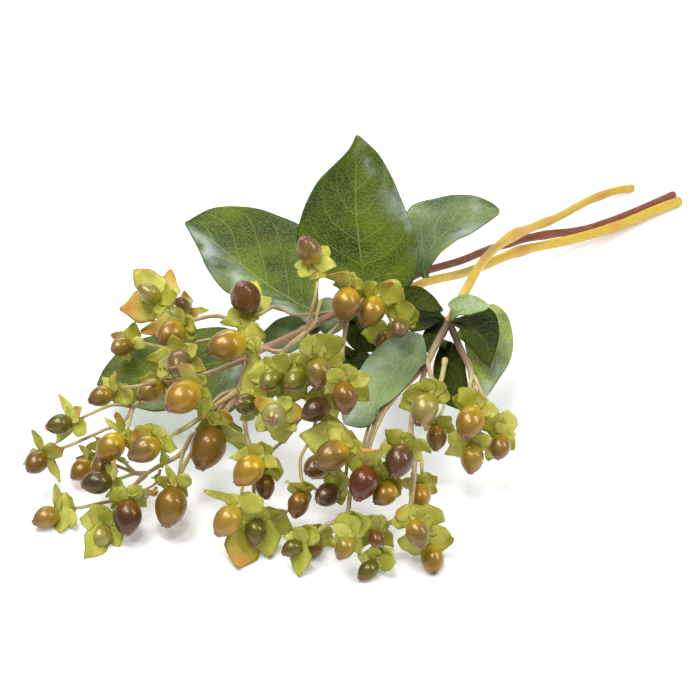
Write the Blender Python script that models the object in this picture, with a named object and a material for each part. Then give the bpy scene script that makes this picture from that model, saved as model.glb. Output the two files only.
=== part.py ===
"""A gathered bunch of three cut hypericum stems with leaves and ripening berries, lying on a surface.

Metres, +Z up. The bunch runs along +X from its berries to its cut ends. Places are given as they are
seen from one fixed sight point, as across and down on a 700 by 700 view, with a real height above the
surface; seen_at turns them into real places.
"""

import math
from collections import namedtuple

import bmesh
import bpy
import numpy as np
from mathutils import Vector

# Driving dimensions of the sight point, which scales the whole bunch.
SIGHT_DISTANCE = 1.25
SIGHT_ELEVATION = math.radians(33.0)
SIGHT_HEADING = math.radians(-45.0)
VIEW_MIDDLE = 350.0
SURFACE_PER_STEP = 0.00055
VIEW_FOCAL = SIGHT_DISTANCE / SURFACE_PER_STEP
# Where the middle of the view meets the surface, so that the bunch's box is centred on the origin.
SIGHT_CENTRE = Vector((-0.01747, 0.04984, 0.0))

# Driving dimensions of the pieces.
BERRY_LENGTH_TO_WIDTH = 1.32
SEPAL_REACH_TO_WIDTH = 0.56
SEPAL_NOTCH = 0.0022
SEPAL_THICK = 0.0009
NECK_LENGTH = 0.0035
NECK_END = 0.0012
# Each further pedicel of a cluster is rooted this much deeper in the stalk's end.
ROOT_STEP = 0.00023
PEDICEL_RADIUS = 0.00085
STALK_RADIUS = 0.00115
LEAF_THICK = 0.0008
LEAF_FOOT_HALF_WIDTH = 0.0012
# The largest part of a fruit's length that can be seen square to the sight line.
FLATTEST = 0.97

# Where the berry is how wide: shares of its length from the calyx, and half widths as shares of its width.
BERRY_PROFILE = ((0.09, 0.19), (0.36, 0.495), (0.72, 0.40), (0.94, 0.17))
CALYX_TOP = 0.04
# Round room that a fruit keeps: shares of its length from its middle, and radii as shares of its width.
FRUIT_ROOM = ((-0.40, 0.54), (-0.15, 0.50), (0.10, 0.49), (0.30, 0.36), (0.44, 0.18))

# Distances that pieces keep to each other, to what carries them and to the surface.
CLEARANCE = 0.0006
LEAF_CLEARANCE = 0.0011
SURFACE_CLEARANCE = -0.0006
SEAT_GAP = 0.0004
LEAF_SEAT_GAP = 0.0005
LEAF_FOOT_STEP = 0.0001
# A seated twig starts as a slim nose, where it has this much room beside what carries it.
NOSE_ROOM = 0.00012
NOSE_SHARE = 0.3
NOSE_REACH = 40
NOSE_STEP = 0.0006
# A twig's neighbours at a joint: the stems that pass this near it, and the stretch of them that counts.
JOINT_REACH = 0.004
JOINT_STRETCH = 0.030

# How finely the pieces are divided.
BERRY_SIDES = 10
TWIG_SIDES = 5
BRANCH_SIDES = 6
STEM_SIDES = 8
FINE_SPACING = 0.001
STEM_SPACING = 0.013
BRANCH_SPACING = 0.009
STALK_SPACING = 0.008
PEDICEL_SPACING = 0.0075
LEAF_SPOT_SPACING = 0.004
LEAF_STATIONS = 9
LEAF_STRIPS = (-1.0, -0.5, 0.0, 0.5, 1.0)
CURVE_STEPS = 24

Seen = namedtuple("Seen", "across down height")
Stem = namedtuple("Stem", "name route radius_start radius_end finish")
Fruit = namedtuple("Fruit", "calyx tip width height via", defaults=((),))
Cyme = namedtuple("Cyme", "name foot stalk fruits")
Leaf = namedtuple("Leaf", "name foot base tip left rib right height rise_across rise_up lift finish")


def axes_of_sight():
    """The view's across, up and inward directions."""
    inward_flat = Vector((-math.sin(SIGHT_HEADING), math.cos(SIGHT_HEADING), 0.0))
    across = Vector((math.cos(SIGHT_HEADING), math.sin(SIGHT_HEADING), 0.0))
    inward = inward_flat * math.cos(SIGHT_ELEVATION) - Vector((0, 0, math.sin(SIGHT_ELEVATION)))
    return across, across.cross(inward), inward


ACROSS, UPWARD, INWARD = axes_of_sight()
SIGHT_POINT = SIGHT_CENTRE - INWARD * SIGHT_DISTANCE


def sight_line(across, down):
    """The direction in which a place of the view is seen."""
    step_across = (across - VIEW_MIDDLE) / VIEW_FOCAL
    step_up = (VIEW_MIDDLE - down) / VIEW_FOCAL
    return (INWARD + ACROSS * step_across + UPWARD * step_up).normalized()


def seen_at(across, down, height):
    """The real place that is seen there at this height above the surface."""
    line = sight_line(across, down)
    return SIGHT_POINT + line * ((height - SIGHT_POINT.z) / line.z)


# Places where twigs leave a stem or a branch.
JOINTS = {
    "left_hub": Seen(264, 348, 0.054),
    "left_knuckle": Seen(246, 359, 0.051),
    "left_bend": Seen(238, 389, 0.045),
    "left_front_fork": Seen(212, 425, 0.036),
    "left_side": Seen(184, 450, 0.029),
    "left_low_fork": Seen(146, 474, 0.021),
    "left_mid_fork": Seen(164, 384, 0.043),
    "left_far_fork": Seen(141, 402, 0.037),
    "left_back_fork": Seen(190, 321, 0.050),
    "red_side": Seen(318, 322, 0.054),
    "red_mid": Seen(342, 310, 0.0532),
    "red_low": Seen(292, 336, 0.054),
    "left_leaf_seat": Seen(255, 353, 0.0525),
    "left_back_bend": Seen(243, 330, 0.054),
    "upper_bend": Seen(466, 290, 0.050),
    "right_upper": Seen(455, 336, 0.0505),
    "right_bend": Seen(460, 348, 0.049),
    "right_front_bend": Seen(439, 339, 0.051),
    "red_top": Seen(366, 297, 0.052),
    "centre_fork": Seen(348, 314, 0.0575),
    "centre_bend": Seen(343, 345, 0.060),
    "centre_lower": Seen(326, 402, 0.052),
    "yellow_low_side": Seen(426, 282, 0.049),
    "yellow_low_bend": Seen(392, 297, 0.053),
    "right_fork": Seen(449, 322, 0.052),
    "right_knuckle": Seen(427, 363, 0.050),
    "low_fork": Seen(366, 452, 0.040),
    "front_side": Seen(411, 434, 0.044),
    "front_fork": Seen(409, 511, 0.027),
    "right_low_knuckle": Seen(472, 378, 0.046),
}

STEMS = [
    Stem(
        "stem_red_brown",
        [
            Seen(673.5, 195, 0.0027), Seen(644, 208, 0.0043), Seen(613, 220.5, 0.0070),
            Seen(582.5, 230, 0.0102), Seen(552, 234, 0.0145), Seen(524, 239, 0.0205),
            Seen(490, 249, 0.029), Seen(460, 261, 0.037), Seen(427.5, 270.5, 0.045),
            Seen(397, 284, 0.050), "red_top", "red_mid", "red_side",
            "red_low", "left_hub",
        ],
        0.0026, 0.0019, "red_bark",
    ),
    Stem(
        "stem_yellow_lower",
        [
            Seen(679, 201.5, 0.00312), Seen(656, 210, 0.0042), Seen(613, 227.5, 0.0068),
            Seen(567, 240.5, 0.014), Seen(520, 251, 0.022), Seen(484.5, 265.5, 0.030),
            Seen(460, 274, 0.037), "yellow_low_side", "yellow_low_bend",
            Seen(370, 307, 0.0562), "centre_fork",
        ],
        0.0030, 0.0022, "yellow_bark",
    ),
    Stem(
        "stem_yellow_upper",
        [
            Seen(632, 188, 0.00246), Seen(613, 191.5, 0.0055), Seen(587, 201.5, 0.012),
            Seen(558, 217, 0.021), Seen(532, 227.5, 0.030), Seen(514, 235, 0.038),
            Seen(497, 247, 0.043), Seen(481, 264, 0.047), "upper_bend", "right_fork",
        ],
        0.0024, 0.0025, "yellow_bark",
    ),
]

BRANCHES = [
    Stem(
        "branch_left_front",
        [
            "left_hub", "left_leaf_seat", "left_knuckle", Seen(245, 372, 0.048), "left_bend",
            Seen(227, 408, 0.041), "left_front_fork", Seen(192, 436, 0.032), "left_side",
            Seen(175, 458, 0.026), Seen(159, 466, 0.023), "left_low_fork",
        ],
        0.0019, 0.0010, "twig",
    ),
    Stem(
        "branch_left_middle",
        [
            "left_knuckle", Seen(226, 367, 0.052), Seen(196, 377, 0.048), "left_mid_fork",
            "left_far_fork",
        ],
        0.0014, 0.0010, "twig",
    ),
    Stem(
        "branch_left_back",
        ["left_hub", "left_back_bend", Seen(219, 316, 0.053), "left_back_fork"],
        0.0014, 0.0010, "twig",
    ),
    Stem(
        "branch_centre",
        ["centre_fork", "centre_bend", Seen(338, 372, 0.058), "centre_lower"],
        0.0013, 0.0011, "twig",
    ),
    Stem(
        "branch_right_front",
        ["right_fork", "right_front_bend", "right_knuckle"],
        0.0021, 0.0017, "twig",
    ),
    Stem(
        "branch_centre_low",
        [
            "right_knuckle", Seen(412, 380, 0.045), Seen(398, 393, 0.044),
            Seen(381, 411, 0.043), Seen(371.5, 432, 0.041), "low_fork",
        ],
        0.0013, 0.0010, "twig",
    ),
    Stem(
        "branch_front",
        [
            "right_knuckle", Seen(421, 384, 0.047), Seen(413, 410, 0.045), "front_side",
            Seen(414, 456, 0.037), Seen(414, 476, 0.033), Seen(412, 497, 0.029), "front_fork",
        ],
        0.0014, 0.0012, "twig",
    ),
    Stem(
        "branch_right",
        ["right_fork", "right_upper", "right_bend", Seen(469, 366, 0.047), "right_low_knuckle"],
        0.0019, 0.0017, "twig",
    ),
]

CYMES = [
    Cyme("fruits_far_left", "left_far_fork", [Seen(133, 407, 0.036)], [
        Fruit((44, 454), (28, 471), 0.0115, 0.020,
              (Seen(122, 423, 0.033), Seen(104, 430, 0.031), Seen(80, 441, 0.028), Seen(62, 448, 0.025))),
        Fruit((73, 421), (44, 428), 0.0105, 0.036, (Seen(113, 405, 0.040), Seen(90, 414, 0.040))),
        Fruit((125, 432), (95, 464), 0.0135, 0.036),
    ]),
    Cyme("fruits_left_middle", "left_mid_fork", [Seen(160, 382, 0.048)], [
        Fruit((113, 391), (88, 402), 0.0105, 0.044, (Seen(138, 386, 0.049),)),
        Fruit((163, 383), (138, 399), 0.0125, 0.046),
        Fruit((197, 386), (167, 409), 0.0165, 0.060),
        Fruit((180, 358), (177, 369), 0.0138, 0.066, (Seen(170, 372, 0.056),)),
    ]),
    Cyme("fruits_left_back", "left_back_fork", [Seen(180, 321, 0.052)], [
        Fruit((160, 300), (138, 286), 0.0105, 0.062),
        Fruit((185, 311), (178, 301), 0.0105, 0.046),
        Fruit((182, 327), (158, 340), 0.0135, 0.058),
    ]),
    Cyme("fruit_left_lone", "left_back_bend", [], [
        Fruit((130, 343), (112, 350), 0.0105, 0.040,
              (Seen(224, 338, 0.050), Seen(206, 340, 0.047), Seen(188, 345, 0.044),
               Seen(173, 349, 0.042), Seen(156, 346, 0.041))),
    ]),
    Cyme("fruit_back_upper", "red_mid", [], [
        Fruit((249, 310), (241, 283), 0.0160, 0.076, (Seen(298, 315, 0.060), Seen(276, 307, 0.066),
                                                     Seen(262, 313, 0.070))),
    ]),
    Cyme("fruit_left_upper", "left_knuckle", [], [
        Fruit((246, 341), (207, 351), 0.0165, 0.070),
    ]),
    Cyme("fruit_left_inner", "left_bend", [], [
        Fruit((160, 441), (128, 458), 0.0135, 0.042,
              (Seen(221, 395, 0.046), Seen(205, 412, 0.046), Seen(191, 424, 0.045), Seen(177, 432, 0.044))),
    ]),
    Cyme("fruits_left_low", "left_low_fork", [Seen(135, 473, 0.021)], [
        Fruit((117, 479), (76, 486), 0.0120, 0.027),
        Fruit((109, 456), (96, 480), 0.0125, 0.019),
        Fruit((91, 462), (72, 478), 0.0110, 0.011),
    ]),
    Cyme("fruit_left_large", "left_side", [], [
        Fruit((176, 484), (165, 530), 0.0160, 0.017, (Seen(181, 461, 0.026), Seen(179, 474, 0.024))),
    ]),
    Cyme("fruits_left_front", "left_low_fork", [Seen(137, 483, 0.018), Seen(126, 495, 0.015)], [
        Fruit((129, 498), (126, 537), 0.0142, 0.012),
        Fruit((58, 512), (33, 523), 0.0112, 0.0050,
              (Seen(117, 500, 0.013), Seen(101, 503, 0.011), Seen(83, 507, 0.010))),
        Fruit((108, 527), (92, 547), 0.0105, 0.0060, (Seen(117, 504, 0.014), Seen(112, 515, 0.013))),
    ]),
    Cyme("fruit_left_broad", "left_front_fork", [], [
        Fruit((216, 424), (199, 472), 0.0180, 0.034),
    ]),
    Cyme("fruits_crown", "left_hub",
         [Seen(281, 352, 0.060), Seen(291, 344, 0.065), Seen(306, 332, 0.070)], [
        Fruit((314, 262), (303, 237), 0.0128, 0.108, (Seen(310, 317, 0.079), Seen(317, 286, 0.094))),
        Fruit((320, 357), (317, 390), 0.0125, 0.078, (Seen(313, 343, 0.074),)),
    ]),
    Cyme("fruits_middle_left", "left_knuckle", [Seen(262, 367, 0.060), Seen(279, 372, 0.064)], [
        Fruit((279, 373), (262, 388), 0.0110, 0.072),
        Fruit((303, 372), (287, 388), 0.0112, 0.072),
    ]),
    Cyme("fruits_middle_low", "left_bend", [Seen(250, 398, 0.050)], [
        Fruit((255, 405), (236, 403), 0.0108, 0.058),
        Fruit((276, 412), (272, 420), 0.0125, 0.064, (Seen(262, 402, 0.053),)),
    ]),
    Cyme("fruits_low_left", "left_bend",
         [Seen(244, 412, 0.043), Seen(246, 432, 0.041), Seen(250, 446, 0.040)], [
        Fruit((262, 456), (234, 486), 0.0140, 0.042),
        Fruit((238, 507), (216, 536), 0.0135, 0.020, (Seen(248, 470, 0.029), Seen(242, 489, 0.026))),
        Fruit((257, 518), (254, 547), 0.0105, 0.014, (Seen(252, 470, 0.026), Seen(254, 492, 0.023))),
    ]),
    Cyme("fruits_centre", "centre_lower", [Seen(322, 393, 0.058)], [
        Fruit((344, 381), (346, 415), 0.0125, 0.074, (Seen(330, 384, 0.064),)),
        Fruit((327, 402), (303, 418), 0.0120, 0.062),
    ]),
    Cyme("fruits_centre_front", "centre_lower", [Seen(334, 417, 0.052), Seen(346, 430, 0.049)], [
        Fruit((347, 447), (315, 465), 0.0150, 0.050),
        Fruit((337, 489), (317, 501), 0.0115, 0.030, (Seen(347, 462, 0.038), Seen(345, 480, 0.033))),
        Fruit((326, 462), (306, 472), 0.0120, 0.034, (Seen(340, 452, 0.040),)),
    ]),
    Cyme("fruits_centre_low", "centre_lower", [Seen(317, 411, 0.051)], [
        Fruit((263, 472), (267, 501), 0.0100, 0.028,
              (Seen(300, 419, 0.050), Seen(290, 434, 0.046), Seen(276, 447, 0.040), Seen(266, 456, 0.036))),
        Fruit((302, 491), (294, 519), 0.0105, 0.026,
              (Seen(315, 424, 0.048), Seen(309, 442, 0.044), Seen(301, 457, 0.040), Seen(301, 476, 0.034))),
    ]),
    Cyme("fruits_centre_upper", "centre_fork", [Seen(360, 303, 0.064), Seen(370, 298, 0.068)], [
        Fruit((350, 285), (342, 325), 0.0145, 0.082, (Seen(357, 288, 0.076),)),
        Fruit((378, 297), (364, 327), 0.0140, 0.074),
        Fruit((403, 321), (396, 335), 0.0098, 0.068, (Seen(388, 304, 0.070),)),
        Fruit((390, 334), (377, 345), 0.0085, 0.054, (Seen(386, 312, 0.062),)),
    ]),
    Cyme("fruits_low_middle", "low_fork", [], [
        Fruit((369, 466), (357, 501), 0.0140, 0.042),
    ]),
    Cyme("fruit_low_right", "low_fork", [], [
        Fruit((394, 485), (375, 503), 0.0115, 0.036, (Seen(378, 462, 0.038), Seen(392, 472, 0.036))),
    ]),
    Cyme("fruits_front_left", "low_fork",
         [Seen(356, 470, 0.033), Seen(350, 496, 0.026), Seen(346, 515, 0.022), Seen(326, 525, 0.020)], [
        Fruit((304, 541), (279, 556), 0.0085, 0.012),
        Fruit((319, 536), (308, 560), 0.0095, 0.0050),
    ]),
    Cyme("fruits_front_right", "front_side", [], [
        Fruit((403, 445), (395, 477), 0.0140, 0.050),
    ]),
    Cyme("fruit_front_hidden", "front_side", [], [
        Fruit((421, 484), (419, 510), 0.0110, 0.024, (Seen(419, 447, 0.038), Seen(422, 468, 0.034))),
    ]),
    Cyme("fruits_front", "front_fork", [Seen(411, 516, 0.0250)], [
        Fruit((412, 517), (424, 551), 0.0115, 0.024),
        Fruit((431, 545), (434, 574), 0.0115, 0.0052, (Seen(421, 521, 0.020), Seen(430, 532, 0.016))),
    ]),
    Cyme("fruits_front_middle", "front_fork", [Seen(392, 522, 0.022), Seen(371, 525, 0.020)], [
        Fruit((352, 535), (337, 562), 0.0095, 0.018, (Seen(362, 527, 0.021),)),
        Fruit((374, 531), (378, 547), 0.0080, 0.0190),
        Fruit((377, 562), (358, 580), 0.0090, 0.0044, (Seen(379, 549, 0.013),)),
    ]),
    Cyme("fruits_right_left", "right_knuckle", [Seen(431, 376, 0.052)], [
        Fruit((431, 394), (417, 425), 0.0140, 0.056),
        Fruit((438, 422), (435, 454), 0.0105, 0.036, (Seen(440, 388, 0.046), Seen(444, 405, 0.042))),
    ]),
    Cyme("fruits_right", "right_low_knuckle", [Seen(474, 390, 0.045)], [
        Fruit((475, 408), (465, 438), 0.0145, 0.046),
        Fruit((474, 443), (470, 475), 0.0118, 0.030, (Seen(478, 405, 0.043), Seen(479, 425, 0.038))),
        Fruit((503, 436), (497, 459), 0.0108, 0.032, (Seen(484, 396, 0.044), Seen(497, 416, 0.041))),
    ]),
]

LEAVES = [
    Leaf("leaf_back_left", "red_side", (314, 312), (185, 223),
         [(307, 325), (296, 315), (283, 310), (266, 304), (240, 300), (220.5, 289), (207, 266),
          (196.5, 244.5)],
         [(296, 303), (262, 281), (216, 244)],
         [(318, 280), (317, 256), (312, 236), (299, 224.5), (279, 214.5), (253, 208), (213, 209)],
         0.054, -0.00002, 0.00020, 0.002, "leaf_green"),
    Leaf("leaf_centre", "red_top", (365, 289), (357.5, 135),
         [(340, 284), (303, 262), (297, 232), (309, 195), (329, 171.5), (346, 152)],
         [(360, 250), (356, 210), (356, 170)],
         [(390, 290), (412, 284), (419, 256), (412, 229.5), (402, 201), (394, 180), (379, 155)],
         0.056, 0.0, 0.00045, 0.004, "leaf_green"),
    Leaf("leaf_back_right", "yellow_low_side", (421, 276), (499.5, 210),
         [(404, 250), (403, 225), (411.5, 206), (438, 198), (457, 194.5), (476.5, 196), (492, 203)],
         [(430, 250), (452, 228), (476, 215)],
         [(433, 264), (441, 254), (457, 238.5), (476.5, 231), (495.5, 217.5)],
         0.052, 0.00008, 0.00026, 0.003, "leaf_back"),
    Leaf("leaf_lower_left", "left_leaf_seat", (256, 353), (97, 385),
         [(248, 375), (229, 418), (202, 406), (163, 409.5), (143, 409), (118, 402)],
         [(220, 362), (180, 370), (140, 378)],
         [(240, 334), (214, 326), (180, 331), (143, 339), (121.5, 350), (105, 366)],
         0.040, 0.00010, 0.00016, 0.003, "leaf_green"),
    Leaf("leaf_right_centre", "right_knuckle", (425, 353), (345, 424),
         [(424, 338), (413, 332), (398, 334), (379, 345.5), (364, 362), (352, 388), (342, 412)],
         [(404, 362), (382, 385), (362, 408)],
         [(420, 371), (401, 391), (379, 409), (375, 422), (360, 427)],
         0.056, 0.00010, 0.00012, 0.002, "leaf_back"),
    Leaf("leaf_small_left", "red_low", (324, 317), (261, 335),
         [(318, 332), (303, 346), (285, 353), (269, 352)],
         [(304, 328), (288, 333), (274, 335)],
         [(314, 310), (298, 313), (280, 319), (269, 326)],
         0.045, 0.00010, 0.00012, 0.001, "leaf_back"),
    Leaf("leaf_dark_behind", "centre_fork", (352, 318), (374, 351),
         [(343, 326), (346, 340), (357, 351)],
         [(357, 326), (364, 336), (370, 345)],
         [(364, 315), (374, 324), (378, 338)],
         0.046, 0.0, 0.00005, -0.001, "leaf_dark"),
    Leaf("leaf_dark_lower", "centre_bend", (348, 352), (360, 398),
         [(341, 358), (339, 374), (347, 390)],
         [(354, 362), (358, 374), (360, 386)],
         [(362, 350), (375, 362), (374, 384)],
         0.046, 0.0, 0.00010, -0.001, "leaf_dark"),
    Leaf("leaf_gap_upper", "yellow_low_bend", (398, 294), (443, 310),
         [(407, 304), (424, 311), (436, 313)],
         [(410, 296), (424, 300), (435, 305)],
         [(408, 286), (423, 288), (435, 298)],
         0.058, 0.0001, 0.0002, 0.001, "leaf_dark"),
    Leaf("leaf_gap_lower", "right_fork", (444, 320), (404, 325),
         [(436, 324), (425, 330), (412, 331)],
         [(434, 317), (424, 319), (413, 321)],
         [(439, 309), (430, 307), (413, 310)],
         0.050, 0.0001, 0.0001, 0.001, "leaf_dark"),
    Leaf("leaf_over_stem", "right_fork", (455, 316), (490, 306),
         [(448, 304), (463, 294.5), (478, 297)],
         [(463, 309), (472, 306), (481, 306)],
         [(463, 315), (473, 314), (483, 311)],
         0.060, 0.0001, 0.0002, 0.001, "leaf_light"),
    Leaf("leaf_right_folded", "right_fork", (456, 321), (490, 367),
         [(462, 334), (467, 343), (477, 356), (485, 363)],
         [(468, 328), (482, 338), (489, 352)],
         [(465, 315), (476, 311), (487, 309), (495, 313), (499, 327), (497.5, 345)],
         0.052, 0.0, 0.00010, 0.001, "leaf_dark"),
    Leaf("leaf_right_outer", "right_upper", (462, 336), (487, 396),
         [(466, 350), (474, 372), (480, 388)],
         [(480, 334), (496, 345), (494, 372)],
         [(474, 314), (486, 303), (497, 307), (505, 313), (510.5, 324), (513, 340), (511.5, 355),
          (506, 369), (497, 382)],
         0.040, 0.0, 0.00012, 0.001, "leaf_light"),
    Leaf("leaf_right_low", "right_front_bend", (443, 342), (460, 409),
         [(437, 352), (433, 372), (437, 392), (447, 405)],
         [(448, 358), (452, 376), (457, 394)],
         [(452, 342), (462, 354), (466, 372), (468, 395)],
         0.036, 0.0, 0.00010, 0.001, "leaf_dark"),
]

# Colours read by eye from the bunch.
FINISHES = {
    "red_bark": ((0.20, 0.055, 0.030), 0.50),
    "yellow_bark": ((0.68, 0.45, 0.05), 0.50),
    "twig": ((0.36, 0.27, 0.10), 0.55),
    "leaf_green": ((0.055, 0.13, 0.018), 0.38),
    "leaf_dark": ((0.018, 0.055, 0.010), 0.42),
    "leaf_back": ((0.20, 0.30, 0.16), 0.55),
    "leaf_light": ((0.16, 0.30, 0.08), 0.45),
    "berry": ((0.20, 0.11, 0.025), 0.22),
}


def place_of(item):
    """A real place, from a joint's name or from a place as it is seen."""
    return seen_at(*(JOINTS[item] if isinstance(item, str) else item))


def curve_through(points, share):
    """The point at a share from 0 to 1 of a smooth curve through these points."""
    last = len(points) - 1
    step = min(int(share * last), last - 1)
    part = share * last - step
    a = points[max(step - 1, 0)]
    b, c = points[step], points[step + 1]
    d = points[min(step + 2, last)]
    bend = (a * -1 + b * 3 - c * 3 + d) * part ** 3 + (a * 2 - b * 5 + c * 4 - d) * part ** 2
    return (bend + (c - a) * part) * 0.5 + b


def even_path(points, spacing):
    """A smooth curve through the points, as points a nearly even distance apart."""
    steps = len(points) * CURVE_STEPS
    fine = [curve_through(points, i / steps) for i in range(steps + 1)]
    lengths = [0.0]
    for here, there in zip(fine, fine[1:]):
        lengths.append(lengths[-1] + (there - here).length)
    count = max(2, round(lengths[-1] / spacing))
    path = []
    for i in range(count + 1):
        wanted = lengths[-1] * i / count
        step = min(int(np.searchsorted(lengths, wanted)), len(fine) - 1)
        before = max(step - 1, 0)
        span = lengths[step] - lengths[before]
        share = (wanted - lengths[before]) / span if span else 0.0
        path.append(fine[before].lerp(fine[step], share))
    return path


def radii_along(stem, count):
    """A stem's or branch's radius at so many even places along it."""
    growth = stem.radius_end - stem.radius_start
    return [stem.radius_start + growth * i / (count - 1) for i in range(count)]


def room_at(place, neighbours):
    """How far a place is from the nearest skin of these stems."""
    return min(
        ((place - spot).length - thick for path, thicks in neighbours for spot, thick in zip(path, thicks)),
        default=1.0,
    )


def leaf_surface(leaf, neighbours):
    """The leaf's middle surface as rows of places, from its foot to its tip."""
    left, rib, right = (
        [Vector(point) for point in (leaf.base, *side, leaf.tip)]
        for side in (leaf.left, leaf.rib, leaf.right)
    )
    rows = []
    for station in range(LEAF_STATIONS):
        share = station / (LEAF_STATIONS - 1)
        middle = curve_through(rib, share)
        row = []
        for strip in LEAF_STRIPS:
            edge = curve_through(left if strip < 0 else right, share)
            spot = middle.lerp(edge, abs(strip))
            height = (
                leaf.height
                + leaf.rise_across * (spot.x - leaf.base[0])
                + leaf.rise_up * (leaf.base[1] - spot.y)
                + leaf.lift * strip ** 2 * math.sin(math.pi * share)
            )
            row.append(seen_at(spot.x, spot.y, height))
        rows.append(row)
    tip_across = (rows[-2][-1] - rows[-2][0]).normalized() * LEAF_FOOT_HALF_WIDTH * 0.5
    rows[-1] = [rows[-1][2] + tip_across * strip for strip in LEAF_STRIPS]
    joint = place_of(leaf.foot)
    outward = (rows[1][2] - joint).normalized()
    across = (rows[1][-1] - rows[1][0]).normalized() * LEAF_FOOT_HALF_WIDTH
    foot = joint
    while min(room_at(foot + across * way, neighbours) for way in (-1, 0, 1)) < LEAF_SEAT_GAP:
        foot = foot + outward * LEAF_FOOT_STEP
    rows[0] = [foot + across * strip for strip in LEAF_STRIPS]
    return rows


class Settling:
    """Slides fruits and twigs along their sight lines until no two pieces meet."""

    ROUNDS = 90
    SHARE = 0.55
    SAME_CYME_SHARE = 0.25
    FOOT_REACH = 0.0075
    TWIG_SPACING = 0.0025
    LEAST_SLOPE = 0.02
    TINY = 1e-9
    # A fruit's samples carry its number, its pedicel's the same number below zero, and a stalk's this.
    STALK_NUMBER = -10000

    def __init__(self):
        self.places = []
        self.lines = []
        self.free = []
        self.samples = []
        self.obstacles = []

    def control(self, seen, free=True):
        """A place that may slide along its sight line."""
        place = seen_at(*seen)
        self.places.append(place)
        self.lines.append((place - SIGHT_POINT).normalized())
        self.free.append(free)
        return len(self.places) - 1

    def sample(self, first, second, share, offset, radius, fruit, cyme, by_foot):
        """A round spot between two controls, which keeps clear of others."""
        self.samples.append((first, second, share, offset, radius, fruit, cyme, by_foot))

    def obstacle(self, place, radius):
        """A round spot that stays where it is."""
        self.obstacles.append((place, radius))

    def twig(self, first, second, offset, radius, fruit, cyme, foot):
        """Samples along a twig between two controls; offset is the second end's."""
        start = self.places[first]
        end = self.places[second] + offset
        count = max(1, int((end - start).length / self.TWIG_SPACING))
        for i in range(count + 1):
            share = i / count
            by_foot = (start.lerp(end, share) - foot).length < self.FOOT_REACH
            self.sample(first, second, share, offset * share, radius, fruit, cyme, by_foot)

    def settle(self):
        """The slide of each control along its sight line, away from the sight point."""
        places = np.array(self.places)
        lines = np.array(self.lines)
        free = np.array(self.free, float)
        first = np.array([s[0] for s in self.samples])
        second = np.array([s[1] for s in self.samples])
        share = np.array([s[2] for s in self.samples])
        offset = np.array([s[3] for s in self.samples])
        radius = np.array([s[4] for s in self.samples])
        fruit = np.array([s[5] for s in self.samples])
        cyme = np.array([s[6] for s in self.samples])
        by_foot = np.array([s[7] for s in self.samples])
        rock = np.array([tuple(o[0]) for o in self.obstacles])
        rock_radius = np.array([o[1] for o in self.obstacles])
        count = len(self.samples)

        may_meet = fruit[:, None] != fruit[None, :]
        both_twigs = (fruit[:, None] < 0) & (fruit[None, :] < 0)
        same_cyme = cyme[:, None] == cyme[None, :]
        may_meet &= ~(both_twigs & same_cyme)
        may_meet &= ~(by_foot[:, None] & by_foot[None, :])
        own_pedicel = (np.abs(fruit[:, None]) == np.abs(fruit[None, :])) & same_cyme
        may_meet &= ~own_pedicel
        stiffness = np.where(same_cyme, self.SAME_CYME_SHARE, self.SHARE)
        slides = np.zeros(len(places))
        for _ in range(self.ROUNDS):
            moved = places + lines * slides[:, None]
            spots = (moved[first] * (1 - share)[:, None] + moved[second] * share[:, None]) + offset
            change = np.zeros(len(places))
            weight = np.zeros(len(places))
            apart = spots[:, None, :] - spots[None, :, :]
            distance = np.sqrt((apart ** 2).sum(axis=2)) + self.TINY
            deep = radius[:, None] + radius[None, :] + CLEARANCE - distance
            rows, columns = np.nonzero((deep > 0) & may_meet & np.triu(np.ones((count, count), bool), 1))
            for a, b in zip(rows, columns):
                push = apart[a, b] / distance[a, b]
                self.spread(change, weight, lines, free, stiffness[a, b] * deep[a, b], push,
                            ((first[a], 1 - share[a]), (second[a], share[a])),
                            ((first[b], 1 - share[b]), (second[b], share[b])))
            apart = spots[:, None, :] - rock[None, :, :]
            distance = np.sqrt((apart ** 2).sum(axis=2)) + self.TINY
            deep = radius[:, None] + rock_radius[None, :] + CLEARANCE - distance
            deep[by_foot] = -1.0
            for a in np.nonzero(deep.max(axis=1) > 0)[0]:
                b = int(deep[a].argmax())
                push = apart[a, b] / distance[a, b]
                self.spread(change, weight, lines, free, self.SHARE * deep[a, b], push,
                            ((first[a], 1 - share[a]), (second[a], share[a])), ())
            low = radius + SURFACE_CLEARANCE - spots[:, 2]
            for a in np.nonzero(low > 0)[0]:
                self.spread(change, weight, lines, free, self.SHARE * low[a], np.array((0.0, 0.0, 1.0)),
                            ((first[a], 1 - share[a]), (second[a], share[a])), ())
            slides += np.where(weight > 0, change / np.maximum(weight, 1.0), 0.0)
        return [line * slide for line, slide in zip(self.lines, slides)]

    @classmethod
    def spread(cls, change, weight, lines, free, amount, push, gainers, losers):
        """Shares one push among the controls that carry the two spots."""
        slopes = [(i, w * free[i] * float(lines[i] @ push)) for i, w in gainers]
        slopes += [(i, -w * free[i] * float(lines[i] @ push)) for i, w in losers]
        total = sum(slope ** 2 for _, slope in slopes)
        if total < cls.LEAST_SLOPE:
            return
        for i, slope in slopes:
            if slope:
                change[i] += amount * slope / total
                weight[i] += 1.0


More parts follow.
